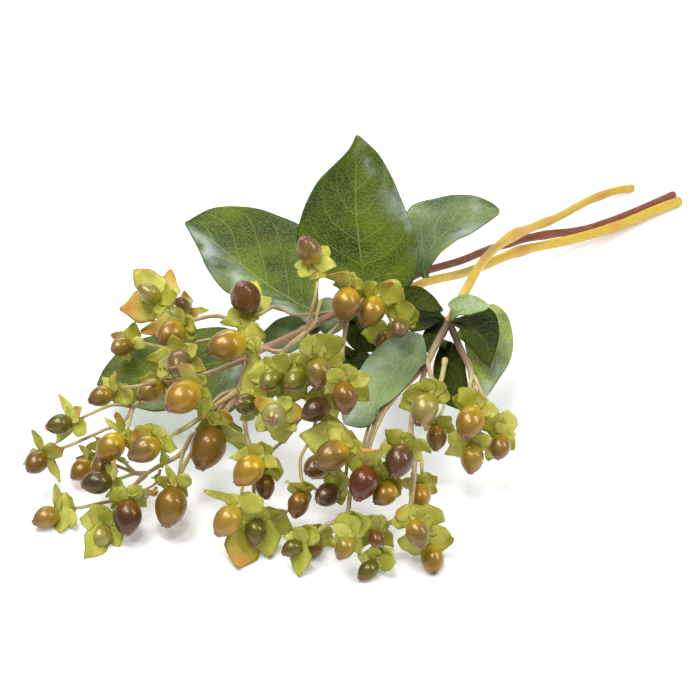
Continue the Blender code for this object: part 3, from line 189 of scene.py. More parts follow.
# Clusters. A fruit has a look, its calyx and tip, its width, the height that it was judged to have and the
# one where it settled clear of its neighbours, its twig's places and its sepals' tips.
CYMES = [
    Cyme("fruits_far_left", "left_far_fork", [(133, 407, 36)], [
        Fruit("olive", (44, 454), (28, 471), 11.5, 20, 20, [(122, 423, 33), (104, 430, 31), (80, 441, 28),
              (62, 448, 25)], [(32, 429, "strap"), (60, 482, "strap"), (53, 462, "strap")]),
        Fruit("dark_green", (73, 421), (44, 428), 10.5, 36, 36, [(113, 405, 40.4543), (90, 414, 40.0542)],
              [(60, 395, "strap"), (67, 407, "pointed"), (53, 445, "strap"), (85, 434)]),
        Fruit("amber", (125, 432), (95, 464), 13.5, 36, 36, [], [(103, 418, "strap"),
              (116, 411, "strap", "blush"), (139, 440, "broad", "blush")]),
    ]),
    Cyme("fruits_left_middle", "left_mid_fork", [(160, 382, 48.7409)], [
        Fruit("brown", (113, 391), (88, 402), 10.5, 44, 43.5112, [(138, 386, 58.5808)],
              [(101, 377, "pointed"), (135, 398), (121, 405)]),
        Fruit("tan", (163, 383), (138, 399), 12.5, 46, 46.377, [], [(141, 381), (160, 366)]),
        Fruit("orange", (197, 386), (167, 409), 16.5, 60, 62.5986, [], [(174, 401, "over"), (205, 376),
              (209, 398)]),
        Fruit("grey", (180, 358), (177, 369), 13.8, 66, 65.5343, [(170, 372, 62.1828)],
              [(146, 358, "pointed"), (197, 345), (207, 371, "pointed"), (158, 378)]),
    ]),
    Cyme("fruits_left_back", "left_back_fork", [(180, 321, 52)], [
        Fruit("straw", (160, 300), (138, 286), 10.5, 62, 62, [], [(140, 273),
              (171, 268.5, "pointed", "blush"), (178, 295), (124.5, 310, "broad", "blush"), (159, 314)]),
        Fruit("brown", (185, 311), (178, 301), 10.5, 46, 46, [], [(148, 308), (199, 316, "broad", "red"),
              (209, 310, "strap"), (165, 326)]),
        Fruit("amber", (182, 327), (158, 340), 13.5, 58, 58, [], [(145, 330, "pointed", "blush"),
              (196, 338), (186, 350)]),
    ]),
    Cyme("fruit_left_lone", "left_back_bend", [], [
        Fruit("tan", (130, 343), (112, 350), 10.5, 40, 40, [(224, 338, 50), (206, 340, 47.0001),
              (188, 345, 44), (173, 349, 42), (156, 346, 41)], [(135, 321.5, "pointed", "dark"),
              (124.5, 369.5, "strap"), (132, 358, "strap")]),
    ]),
    Cyme("fruit_back_upper", "red_mid", [], [
        Fruit("cocoa", (249, 310), (241, 283), 16, 76, 76, [(298, 315, 60), (276, 307, 66), (262, 313, 70)],
              [(254, 280), (271, 299), (258, 320), (221, 325, "pointed"), (246, 327)]),
    ]),
    Cyme("fruit_left_upper", "left_knuckle", [], [
        Fruit("amber", (246, 341), (207, 351), 16.5, 70, 70, [], [(263, 325), (241, 326), (263, 349)]),
    ]),
    Cyme("fruit_left_inner", "left_bend", [], [
        Fruit("brown", (160, 441), (128, 458), 13.5, 42, 42, [(221, 395, 46), (205, 412, 44.847),
              (191, 424, 52.051), (177, 432, 44)], [(157, 424, "pointed", "dark"), (141, 428), (176, 448),
              (130, 436, "broad", "blush")]),
    ]),
    Cyme("fruits_left_low", "left_low_fork", [(135, 473, 19.8761)], [
        Fruit("dark_olive", (117, 479), (76, 486), 12, 27, 26.4024, [], [(108, 465), (122, 494)]),
        Fruit("umber", (109, 456), (96, 480), 12.5, 19, 21.0763, [], [(118, 447)]),
        Fruit("amber", (91, 462), (72, 478), 11, 11, 10.0183, [], [(78, 458), (97, 452)]),
    ]),
    Cyme("fruit_left_large", "left_side", [], [
        Fruit("umber", (176, 484), (165, 530), 16, 17, 17, [(181, 461, 26), (179, 474, 24)],
              [(192, 475, "pointed", "dark"), (157, 478), (166, 466, "strap"), (187, 494)]),
    ]),
    Cyme("fruits_left_front", "left_low_fork", [(137, 483, 18), (126, 495, 14.7561)], [
        Fruit("dark_orange", (129, 498), (126, 537), 14.2, 12, 14.504, [], [(108, 492), (146, 506),
              (141, 486), (112, 508)]),
        Fruit("tan", (58, 512), (33, 523), 11.2, 5, 5.6244, [(117, 500, 13), (101, 503, 11), (83, 507, 10)],
              [(55, 484, "strap"), (74, 495), (51, 526, "strap"), (62, 533), (76, 524)]),
        Fruit("straw", (108, 527), (92, 547), 10.5, 6, 4.8815, [(117, 504, 13.2642), (112, 515, 12.1669)],
              [(120, 546), (86, 560), (91, 505), (103, 510), (78, 520)]),
    ]),
    Cyme("fruit_left_broad", "left_front_fork", [], [
        Fruit("umber", (216, 424), (199, 472), 18, 34, 34.5334, [], [(210, 410),
              (231, 413, "broad", "blush"), (245, 448, "pointed", "dark"), (198, 428)]),
    ]),
    Cyme("fruits_crown", "left_hub", [(281, 352, 60), (291, 344, 65), (306, 332, 70)], [
        Fruit("brown", (314, 262), (303, 237), 12.8, 108, 108, [(310, 317, 79), (317, 286, 94)],
              [(294, 266), (298, 276), (337, 266, "pointed"), (328, 246), (320, 281)]),
        Fruit("grey", (320, 357), (317, 390), 12.5, 78, 78.8074, [(313, 343, 74)], [(304, 334), (337, 330),
              (345, 362), (298, 360)]),
    ]),
    Cyme("fruits_middle_left", "left_knuckle", [(262, 367, 60), (279, 372, 64)], [
        Fruit("green", (279, 373), (262, 388), 11, 72, 70.2409, [], [(264, 357), (249, 376), (243, 394),
              (284, 352)]),
        Fruit("green", (303, 372), (287, 388), 11.2, 72, 72.9429, [], [(291, 352), (308, 352), (311, 386),
              (276, 400)]),
    ]),
    Cyme("fruits_middle_low", "left_bend", [(250, 398, 50)], [
        Fruit("dark_green", (255, 405), (236, 403), 10.8, 58, 59.0667, [], [(241, 390), (262, 416)]),
        Fruit("pale", (276, 412), (272, 420), 12.5, 64, 63.7052, [(262, 402, 52.181)],
              [(255, 400, "broad", "blush"), (291, 397), (305, 414, "broad", "blush"), (284, 443),
              (257, 430), (296, 431)]),
    ]),
    Cyme("fruits_low_left", "left_bend", [(244, 412, 43), (246, 432, 41), (250, 446, 40)], [
        Fruit("orange", (262, 456), (234, 486), 14, 42, 42, [], [(233, 456, "pointed"),
              (278, 467, "pointed"), (277, 483), (250, 441), (268, 441)]),
        Fruit("gold", (238, 507), (216, 536), 13.5, 20, 21.5741, [(248, 470, 29), (242, 489, 26)],
              [(210, 490, "strap"), (263, 500), (250, 524), (226, 494)]),
        Fruit("dark_green", (257, 518), (254, 547), 10.5, 14, 12.3278, [(252, 470, 26), (254, 492, 23)],
              [(236, 568, "broad", "blush"), (234, 543), (290, 529), (272, 556), (270, 510)]),
    ]),
    Cyme("fruits_centre", "centre_lower", [(322, 393, 58)], [
        Fruit("dark_brown", (344, 381), (346, 415), 12.5, 74, 73.9999, [(330, 384, 64)], [(327, 370),
              (352, 362), (371, 378), (367, 398), (326, 392)]),
        Fruit("dark", (327, 402), (303, 418), 12, 62, 62, [], [(318, 386), (337, 417), (303, 398),
              (327, 425)]),
    ]),
    Cyme("fruits_centre_front", "centre_lower", [(334, 417, 52), (346, 430, 49)], [
        Fruit("amber_grey", (347, 447), (315, 465), 15, 50, 49.9371, [], [(306, 434), (327, 430),
              (352, 430), (364, 446), (358, 471)]),
        Fruit("dark", (337, 489), (317, 501), 11.5, 30, 30.0669, [(347, 462, 38), (345, 480, 33)],
              [(325, 480), (342, 504), (349, 494)]),
        Fruit("olive", (326, 462), (306, 472), 12, 34, 33.1715, [(340, 452, 40)], []),
    ]),
    Cyme("fruits_centre_low", "centre_lower", [(317, 411, 51)], [
        Fruit("dark_brown", (263, 472), (267, 501), 10, 28, 28, [(300, 419, 50), (290, 434, 45.9999),
              (276, 447, 40), (266, 456, 36)], []),
        Fruit("dark_brown", (302, 491), (294, 519), 10.5, 26, 25.9295, [(315, 424, 48), (309, 442, 44),
              (301, 457, 40.4392), (301, 476, 34.5048)], [(287, 488), (312, 482), (308, 504)]),
    ]),
    Cyme("fruits_centre_upper", "centre_fork", [(360, 303, 64), (370, 298, 68)], [
        Fruit("amber_grey", (350, 285), (342, 325), 14.5, 82, 82, [(357, 288, 76)], [(334, 284), (352, 273),
              (364, 281)]),
        Fruit("amber", (378, 297), (364, 327), 14, 74, 73.9999, [], [(361, 282),
              (392, 282, "broad", "blush"), (408, 292), (396, 312)]),
        Fruit("grey", (403, 321), (396, 335), 9.8, 68, 68, [(388, 304, 70)], [(390, 302), (419, 311),
              (416, 326), (407, 299)]),
        Fruit("brown", (390, 334), (377, 345), 8.5, 54, 52.8371, [(386, 312, 62)], [(363, 333), (378, 353),
              (397, 346)]),
    ]),
    Cyme("fruits_low_middle", "low_fork", [], [
        Fruit("rust", (369, 466), (357, 501), 14, 42, 43.2694, [], [(352, 458), (385, 464), (388, 480)]),
    ]),
    Cyme("fruit_low_right", "low_fork", [], [
        Fruit("amber", (394, 485), (375, 503), 11.5, 36, 34.5894, [(378, 462, 38), (392, 472, 36)],
              [(402, 490), (394, 500)]),
    ]),
    Cyme("fruits_front_left", "low_fork", [(356, 470, 33), (350, 496, 26), (346, 515, 22), (326, 525, 20)],
         [
        Fruit("dark_green", (304, 541), (279, 556), 8.5, 12, 12, [], [(299, 577, "pointed"), (285, 536),
              (300, 524), (318, 528)]),
        Fruit("olive", (319, 536), (308, 560), 9.5, 5, 5.0001, [], [(331, 524), (334, 545), (310, 522)]),
    ]),
    Cyme("fruits_front_right", "front_side", [], [
        Fruit("dark", (403, 445), (395, 477), 14, 50, 50.1566, [], [(385, 429, "pointed", "dark"),
              (413, 433), (379, 455), (419, 460)]),
    ]),
    Cyme("fruit_front_hidden", "front_side", [], [
        Fruit("orange", (421, 484), (419, 510), 11, 24, 23.6221, [(419, 447, 38), (422, 468, 34)],
              [(437, 476), (436, 492)]),
    ]),
    Cyme("fruits_front", "front_fork", [(411, 516, 25)], [
        Fruit("brown", (412, 517), (424, 551), 11.5, 24, 24, [], [(396, 510, "broad", "blush"), (423, 505),
              (447, 523), (391, 523), (431, 512)]),
        Fruit("amber", (431, 545), (434, 574), 11.5, 5.2, 5.7474, [(421, 521, 20), (430, 532, 16)],
              [(454, 538), (407, 549), (398, 541), (446, 527)]),
    ]),
    Cyme("fruits_front_middle", "front_fork", [(392, 522, 21.964), (371, 525, 19.3647)], [
        Fruit("tan", (352, 535), (337, 562), 9.5, 18, 18, [(362, 527, 20.9678)], [(334, 524), (345, 511),
              (361, 510), (333, 541), (359, 553)]),
        Fruit("dark_brown", (374, 531), (378, 547), 8, 19, 20.1596, [], [(367, 513), (389, 521), (391, 544),
              (362, 545), (380, 512)]),
        Fruit("dark_green", (377, 562), (358, 580), 9, 4.4, 4.4, [(379, 549, 12.4056)], [(395, 562),
              (392, 550), (358, 556), (372, 547)]),
    ]),
    Cyme("fruits_right_left", "right_knuckle", [(431, 376, 52)], [
        Fruit("straw", (431, 394), (417, 425), 14, 56, 56, [], [(397, 409, "pointed"), (405, 398),
              (424, 378), (452, 397), (443, 378)]),
        Fruit("brown", (438, 422), (435, 454), 10.5, 36, 36, [(440, 388, 46), (444, 405, 42)], [(451, 418),
              (453, 430), (427, 418)]),
    ]),
    Cyme("fruits_right", "right_low_knuckle", [(474, 390, 45)], [
        Fruit("amber", (475, 408), (465, 438), 14.5, 46, 47.1151, [], [(453, 396), (482, 392), (499, 412),
              (460, 389)]),
        Fruit("tan", (474, 443), (470, 475), 11.8, 30, 28.834, [(478, 405, 43), (479, 425, 38)],
              [(446, 437), (445, 455, "pointed"), (470, 432), (490, 437)]),
        Fruit("brown", (503, 436), (497, 459), 10.8, 32, 32, [(484, 396, 44), (497, 416, 41)], [(486, 416),
              (507, 411), (516, 434), (489, 456), (513, 449)]),
    ]),
]

# Leaves: the two edges and the midrib run from the base to the tip.
LEAVES = [
    Leaf("leaf_back_left", "leaf_green", "red_side", 54, -0.02, 0.2, 2, (314, 312), (185, 223), [(307, 325),
         (296, 315), (283, 310), (266, 304), (240, 300), (220.5, 289), (207, 266), (196.5, 244.5)],
         [(296, 303), (262, 281), (216, 244)], [(318, 280), (317, 256), (312, 236), (299, 224.5),
         (279, 214.5), (253, 208), (213, 209)]),
    Leaf("leaf_centre", "leaf_green", "red_top", 56, 0, 0.45, 4, (365, 289), (357.5, 135), [(340, 284),
         (303, 262), (297, 232), (309, 195), (329, 171.5), (346, 152)], [(360, 250), (356, 210),
         (356, 170)], [(390, 290), (412, 284), (419, 256), (412, 229.5), (402, 201), (394, 180),
         (379, 155)]),
    Leaf("leaf_back_right", "leaf_back", "yellow_low_side", 52, 0.08, 0.26, 3, (421, 276), (499.5, 210),
         [(404, 250), (403, 225), (411.5, 206), (438, 198), (457, 194.5), (476.5, 196), (492, 203)],
         [(430, 250), (452, 228), (476, 215)], [(433, 264), (441, 254), (457, 238.5), (476.5, 231),
         (495.5, 217.5)]),
    Leaf("leaf_lower_left", "leaf_green", "left_leaf_seat", 40, 0.1, 0.16, 3, (256, 353), (97, 385),
         [(248, 375), (229, 418), (202, 406), (163, 409.5), (143, 409), (118, 402)], [(220, 362),
         (180, 370), (140, 378)], [(240, 334), (214, 326), (180, 331), (143, 339), (121.5, 350),
         (105, 366)]),
    Leaf("leaf_right_centre", "leaf_back", "right_knuckle", 56, 0.1, 0.12, 2, (425, 353), (345, 424),
         [(424, 338), (413, 332), (398, 334), (379, 345.5), (364, 362), (352, 388), (342, 412)],
         [(404, 362), (382, 385), (362, 408)], [(420, 371), (401, 391), (379, 409), (375, 422),
         (360, 427)]),
    Leaf("leaf_small_left", "leaf_back", "red_low", 45, 0.1, 0.12, 1, (324, 317), (261, 335), [(318, 332),
         (303, 346), (285, 353), (269, 352)], [(304, 328), (288, 333), (274, 335)], [(314, 310), (298, 313),
         (280, 319), (269, 326)]),
    Leaf("leaf_dark_behind", "leaf_dark", "centre_fork", 46, 0, 0.05, -1, (352, 318), (374, 351),
         [(343, 326), (346, 340), (357, 351)], [(357, 326), (364, 336), (370, 345)], [(364, 315),
         (374, 324), (378, 338)]),
    Leaf("leaf_dark_lower", "leaf_dark", "centre_bend", 46, 0, 0.1, -1, (348, 352), (360, 398), [(341, 358),
         (339, 374), (347, 390)], [(354, 362), (358, 374), (360, 386)], [(362, 350), (375, 362),
         (374, 384)]),
    Leaf("leaf_gap_upper", "leaf_dark", "yellow_low_bend", 58, 0.1, 0.2, 1, (398, 294), (443, 310),
         [(407, 304), (424, 311), (436, 313)], [(410, 296), (424, 300), (435, 305)], [(408, 286),
         (423, 288), (435, 298)]),
    Leaf("leaf_gap_lower", "leaf_dark", "right_fork", 50, 0.1, 0.1, 1, (444, 320), (404, 325), [(436, 324),
         (425, 330), (412, 331)], [(434, 317), (424, 319), (413, 321)], [(439, 309), (430, 307),
         (413, 310)]),
    Leaf("leaf_over_stem", "leaf_light", "right_fork", 60, 0.1, 0.2, 1, (455, 316), (490, 306), [(448, 304),
         (463, 294.5), (478, 297)], [(463, 309), (472, 306), (481, 306)], [(463, 315), (473, 314),
         (483, 311)]),
    Leaf("leaf_right_folded", "leaf_dark", "right_fork", 52, 0, 0.1, 1, (456, 321), (490, 367), [(462, 334),
         (467, 343), (477, 356), (485, 363)], [(468, 328), (482, 338), (489, 352)], [(465, 315), (476, 311),
         (487, 309), (495, 313), (499, 327), (497.5, 345)]),
    Leaf("leaf_right_outer", "leaf_light", "right_upper", 40, 0, 0.12, 1, (462, 336), (487, 396),
         [(466, 350), (474, 372), (480, 388)], [(480, 334), (496, 345), (494, 372)], [(474, 314),
         (486, 303), (497, 307), (505, 313), (510.5, 324), (513, 340), (511.5, 355), (506, 369),
         (497, 382)]),
    Leaf("leaf_right_low", "leaf_dark", "right_front_bend", 36, 0, 0.1, 1, (443, 342), (460, 409),
         [(437, 352), (433, 372), (437, 392), (447, 405)], [(448, 358), (452, 376), (457, 394)],
         [(452, 342), (462, 354), (466, 372), (468, 395)]),
]


def place_of(item):
    """A real place, from a joint's name or from a place as it is seen."""
    return seen_at(*(JOINTS[item] if isinstance(item, str) else item))


def curve_through(points, share):
    """The point at a share from 0 to 1 of a smooth curve through these points."""
    last = len(points) - 1
    step = min(int(share * last), last - 1)
    part = share * last - step
    a = points[max(step - 1, 0)]
    b, c = points[step], points[step + 1]
    d = points[min(step + 2, last)]
    bend = (a * -1 + b * 3 - c * 3 + d) * part ** 3 + (a * 2 - b * 5 + c * 4 - d) * part ** 2
    return (bend + (c - a) * part) * 0.5 + b


def runs_along(path):
    """How far along a path each of its points lies."""
    steps = [(there - here).length for here, there in zip(path, path[1:])]
    return list(itertools.accumulate(steps, initial=0.0))


def even_path(points, spacing):
    """A smooth curve through the points, as points a nearly even distance apart."""
    steps = len(points) * CURVE_STEPS
    fine = [curve_through(points, i / steps) for i in range(steps + 1)]
    runs = runs_along(fine)
    count = max(2, round(runs[-1] / spacing))
    path = []
    for i in range(count + 1):
        wanted = runs[-1] * i / count
        step = min(int(np.searchsorted(runs, wanted)), steps)
        before = max(step - 1, 0)
        span = runs[step] - runs[before]
        path.append(fine[before].lerp(fine[step], (wanted - runs[before]) / span if span else 0.0))
    return path


def radii_along(stem, count):
    """A stem's or branch's radius at so many even places along it."""
    growth = stem.radius_end - stem.radius_start
    return [(stem.radius_start + growth * i / (count - 1)) * MM for i in range(count)]


def leaf_surface(leaf):
    """The leaf's middle surface as rows of places, from its foot to its tip."""
    left, rib, right = (
        [Vector(point) for point in (leaf.base, *side, leaf.tip)]
        for side in (leaf.left, leaf.rib, leaf.right)
    )
    rows = []
    for station in range(LEAF_STATIONS):
        share = station / (LEAF_STATIONS - 1)
        middle = curve_through(rib, share)
        row = []
        for strip in LEAF_STRIPS:
            spot = middle.lerp(curve_through(left if strip < 0 else right, share), abs(strip))
            height = (
                leaf.height
                + leaf.rise_across * (spot.x - leaf.base[0])
                + leaf.rise_up * (leaf.base[1] - spot.y)
                + leaf.lift * strip ** 2 * math.sin(math.pi * share)
            )
            row.append(seen_at(spot.x, spot.y, height))
        rows.append(row)
    tip_side = (rows[-2][-1] - rows[-2][0]).normalized() * LEAF_TIP_HALF_WIDTH
    foot_side = (rows[1][-1] - rows[1][0]).normalized() * LEAF_FOOT_HALF_WIDTH
    rows[-1] = [rows[-1][2] + tip_side * strip for strip in LEAF_STRIPS]
    rows[0] = [place_of(leaf.foot) + foot_side * strip for strip in LEAF_STRIPS]
    return rows


GrownFruit = namedtuple("GrownFruit", "look sepals twig base axis width length")


def grown_fruit(fruit):
    """A fruit in its real size and place, with the direction from its calyx to its tip."""
    width = fruit.width * MM
    length = width * BERRY_LENGTH_TO_WIDTH
    spot = ((fruit.calyx[0] + fruit.tip[0]) / 2, (fruit.calyx[1] + fruit.tip[1]) / 2)
    judged = seen_at(*spot, fruit.height)
    middle = seen_at(*spot, fruit.settled)
    step = (judged - SIGHT_POINT).dot(INWARD) / VIEW_FOCAL
    side = (fruit.tip[0] - fruit.calyx[0]) * step / length
    rise = (fruit.calyx[1] - fruit.tip[1]) * step / length
    flat = math.hypot(side, rise)
    if flat > FLATTEST:
        side, rise, flat = side * FLATTEST / flat, rise * FLATTEST / flat, FLATTEST
    line = (judged - SIGHT_POINT).normalized()
    across = (ACROSS - line * ACROSS.dot(line)).normalized()
    axis = (across * side + across.cross(line) * rise - line * math.sqrt(1 - flat ** 2)).normalized()
    twig = [seen_at(*place) for place in fruit.twig]
    sepals = [Tip(*tip) for tip in fruit.sepals]
    return GrownFruit(fruit.look, sepals, twig, middle - axis * (0.5 * length), axis, width, length)


@functools.cache
def grown_cymes():
    """Each cluster's name, its stalk's places and its fruits."""
    return [
        (cyme.name, [place_of(place) for place in (cyme.foot, *cyme.stalk)],
         [grown_fruit(fruit) for fruit in cyme.fruits])
        for cyme in CYMES
    ]


class Value:
    """A node's output, on which sums, products and the like add Math nodes to its tree."""

    def __init__(self, nodes, socket):
        self.nodes = nodes
        self.socket = socket

    def __add__(self, other):
        return self.nodes.maths("ADD", self, other)

    __radd__ = __add__

    def __sub__(self, other):
        return self.nodes.maths("SUBTRACT", self, other)

    def __rsub__(self, other):
        return self.nodes.maths("SUBTRACT", other, self)

    def __mul__(self, other):
        return self.nodes.maths("MULTIPLY", self, other)

    __rmul__ = __mul__

    def __pow__(self, other):
        return self.nodes.maths("POWER", self, other)

    def __abs__(self):
        return self.nodes.maths("ABSOLUTE", self)


class Made:
    """A node that was added, whose outputs are read by name or number."""

    def __init__(self, nodes, node):
        self.nodes = nodes
        self.node = node

    def __getitem__(self, key):
        return Value(self.nodes, self.node.outputs[key])


class Nodes:
    """Adds the nodes of one tree, for a material or for geometry."""

    def __init__(self, tree):
        self.tree = tree

    def add(self, kind, settings=None, sockets=None):
        """A node of this kind: its settings first, then the values or links of its sockets."""
        node = self.tree.nodes.new(kind)
        for name, value in (settings or {}).items():
            if name == "curve":
                self.set_curve(node, value)
            else:
                setattr(node, name, value)
        for key, value in (sockets or {}).items():
            if isinstance(value, Value):
                self.tree.links.new(value.socket, node.inputs[key])
            else:
                node.inputs[key].default_value = value
        return Made(self, node)

    @staticmethod
    def set_curve(node, points):
        """The points of a float curve."""
        curve = node.mapping.curves[0]
        while len(curve.points) < len(points):
            curve.points.new(0.5, 0.5)
        for point, place in zip(curve.points, points):
            point.location = place
        node.mapping.update()

    def pass_on(self, kind, geometry, settings=None, **sockets):
        """A node that takes geometry and gives it on."""
        return self.add("GeometryNode" + kind, settings, {"Geometry": geometry, **sockets})["Geometry"]

    def maths(self, operation, *values):
        """One Math node."""
        return self.add("ShaderNodeMath", {"operation": operation}, dict(enumerate(values)))["Value"]

    def rise(self, value, low, high):
        """Goes smoothly from 0 at low to 1 at high."""
        return self.add(
            "ShaderNodeMapRange", {"interpolation_type": "SMOOTHSTEP"}, {0: value, 1: low, 2: high}
        )["Result"]

    def mix(self, factor, first, second):
        """A colour between two."""
        sockets = {0: factor}
        for key, colour in ((6, first), (7, second)):
            sockets[key] = colour if isinstance(colour, Value) else (*colour, 1.0)[:4]
        return self.add("ShaderNodeMix", {"data_type": "RGBA"}, sockets)[2]

    def noise(self, vector, scale, detail=2.0, roughness=0.5):
        """Soft noise around one half."""
        sockets = {"Vector": vector, "Scale": scale, "Detail": detail, "Roughness": roughness}
        return self.add("ShaderNodeTexNoise", {}, sockets)["Fac"]

    def vector(self, x, y, z):
        """A vector from its three parts."""
        return self.add("ShaderNodeCombineXYZ", {}, {0: x, 1: y, 2: z})["Vector"]

    def parts(self, vector):
        """The three parts of a vector."""
        made = self.add("ShaderNodeSeparateXYZ", {}, {0: vector})
        return made["X"], made["Y"], made["Z"]

    def wander(self, vector, scale, reach, detail=2.0):
        """Soft noise around nothing, to half this reach each way."""
        return (self.noise(vector, scale, detail) - 0.5) * reach

    def bump(self, height, strength, distance):
        """A bent normal from a height."""
        return self.add(
            "ShaderNodeBump", {}, {"Strength": strength, "Distance": distance, "Height": height}
        )["Normal"]


class Finish(Nodes):
    """The nodes of one material, around its shader."""

    def __init__(self, name):
        self.material = bpy.data.materials.new(name)
        self.material.use_nodes = True
        super().__init__(self.material.node_tree)
        self.shader = self.tree.nodes["Principled BSDF"]

    def place(self):
        """Object coordinates, in metres."""
        return self.add("ShaderNodeTexCoord")["Object"]

    def number(self, name):
        """A number that the mesh carries."""
        return self.add("ShaderNodeAttribute", {"attribute_name": name})["Fac"]

    def colour(self, name):
        """A colour or vector that the mesh carries."""
        return self.add("ShaderNodeAttribute", {"attribute_name": name})["Color"]

    def blade(self):
        """Across and along on a blade, each from 0 to 1."""
        across, along, _ = self.parts(self.add("ShaderNodeUVMap", {"uv_map": "Blade"})["UV"])
        return across, along

    def set(self, **sockets):
        """The shader's own sockets, by their names with low lines for spaces."""
        for key, value in sockets.items():
            socket = self.shader.inputs[key.replace("_", " ")]
            if isinstance(value, Value):
                self.tree.links.new(value.socket, socket)
            else:
                socket.default_value = value
        return self.material


def colour_setting(name, description, default):
    """A colour for the panel."""
    return FloatVectorProperty(name=name, description=description, default=default, subtype="COLOR")


def length_setting(name, description, default):
    """A length in metres for the panel."""
    return FloatProperty(
        name=name, description=description, default=default, subtype="DISTANCE", unit="LENGTH"
    )


class BerryLooks(PropertyGroup):
    """Sizes and colours of the berries."""

    sides: IntProperty(name="Sides", description="Faces round a berry", default=26, min=8, max=64)
    rings: IntProperty(name="Rings", description="Faces along a berry", default=32, min=8, max=64)
    lumps: length_setting("Lumps", "How far the skin swells and dips", 0.0004)
    lobes: FloatProperty(
        name="Lobes", description="How deep the tip's lobes are", default=0.26, subtype="FACTOR"
    )
    tip: colour_setting("Tip", "Skin around the puckered tip", (0.120, 0.055, 0.036))
    crust: colour_setting("Crust", "Dry lobes on the tip", (0.48, 0.26, 0.21))
    roughness: FloatProperty(
        name="Roughness", description="How dull the skin is", default=0.31, subtype="FACTOR"
    )


class SepalLooks(PropertyGroup):
    """Sizes and colours of the sepals."""

    length: FloatProperty(
        name="Length", description="A sepal's length where it isn't given, as a share of its berry's width",
        default=1.05, subtype="FACTOR",
    )
    thickness: length_setting("Thickness", "A sepal's thickness", 0.00034)
    green: colour_setting("Green", "The deeper green", (0.36, 0.365, 0.022))
    pale: colour_setting("Pale", "The paler green", (0.62, 0.605, 0.120))
    rim: colour_setting("Rim", "The dry edge", (0.085, 0.055, 0.020))


class LeafLooks(PropertyGroup):
    """Sizes and colours of the leaves."""

    thickness: length_setting("Thickness", "A blade's thickness", 0.00050)
    deep: colour_setting("Deep", "The deeper green", (0.023, 0.047, 0.002))
    fresh: colour_setting("Fresh", "The fresher green", (0.092, 0.134, 0.003))
    under: colour_setting("Underside", "The grey-green underside", (0.155, 0.222, 0.070))
    vein: colour_setting("Veins", "The veins", (0.24, 0.29, 0.045))


class StemLooks(PropertyGroup):
    """Sizes and colours of the stems, branches and twigs."""

    bumps: length_setting("Bumps", "How far the bark swells and dips", 0.00035)
    yellow: colour_setting("Yellow bark", "Main colour of the yellow stems", (0.62, 0.42, 0.040))
    orange: colour_setting("Orange bark", "Tinge at the knots", (0.55, 0.28, 0.04))
    red: colour_setting("Red bark", "Main colour of the red-brown stem", (0.235, 0.070, 0.033))
    tan: colour_setting("Tan", "Older twigs", (0.40, 0.25, 0.145))
    young: colour_setting("Young", "Young twigs", (0.46, 0.43, 0.080))


class StageLooks(PropertyGroup):
    """The floor and the lights."""

    floor: colour_setting("Floor", "Colour of the floor", (0.93, 0.93, 0.93))
    surround: FloatProperty(name="Surround", description="Light from all round", default=0.42)
    main_light: FloatProperty(
        name="Main light", description="Power of the main light", default=12.8, subtype="POWER", unit="POWER"
    )


# Each look of a berry: the colour at its calyx, and the colour of its body.
BERRY_LOOKS = {
    "olive": ((0.27, 0.165, 0.006), (0.165, 0.088, 0.008)),
    "dark_olive": ((0.12, 0.085, 0.006), (0.055, 0.034, 0.005)),
    "umber": ((0.23, 0.125, 0.007), (0.190, 0.098, 0.006)),
    "cocoa": ((0.13, 0.060, 0.004), (0.145, 0.064, 0.006)),
    "brown": ((0.43, 0.262, 0.012), (0.185, 0.110, 0.018)),
    "dark_brown": ((0.32, 0.155, 0.010), (0.140, 0.060, 0.008)),
    "rust": ((0.20, 0.052, 0.003), (0.085, 0.020, 0.003)),
    "tan": ((0.38, 0.310, 0.030), (0.260, 0.165, 0.018)),
    "amber": ((0.62, 0.425, 0.012), (0.275, 0.153, 0.011)),
    "amber_grey": ((0.62, 0.380, 0.016), (0.200, 0.112, 0.015)),
    "orange": ((0.58, 0.385, 0.012), (0.335, 0.175, 0.010)),
    "gold": ((0.46, 0.330, 0.025), (0.340, 0.200, 0.020)),
    "straw": ((0.37, 0.320, 0.022), (0.285, 0.230, 0.055)),
    "grey": ((0.36, 0.280, 0.045), (0.165, 0.102, 0.022)),
    "green": ((0.42, 0.390, 0.022), (0.175, 0.170, 0.008)),
    "dark_green": ((0.135, 0.120, 0.008), (0.110, 0.085, 0.006)),
    "dark": ((0.17, 0.090, 0.012), (0.075, 0.034, 0.009)),
    "dark_orange": ((0.20, 0.088, 0.006), (0.060, 0.022, 0.004)),
    "pale": ((0.36, 0.360, 0.045), (0.330, 0.300, 0.085)),
}


def shaded(colour, share):
    """A darker or lighter colour of the same hue."""
    return tuple(part * share for part in colour)


# Where along a berry the calyx's colour gives way to the body's, where it greys, and its dry end.
SHOULDER = (0.08, 0.58)
GREYING = (0.66, 1.04)
DRY_END = (0.948, 0.966)
SPECK_COLOUR = (0.42, 0.30, 0.13)
CRUST_SHADOW = (0.105, 0.034, 0.026)


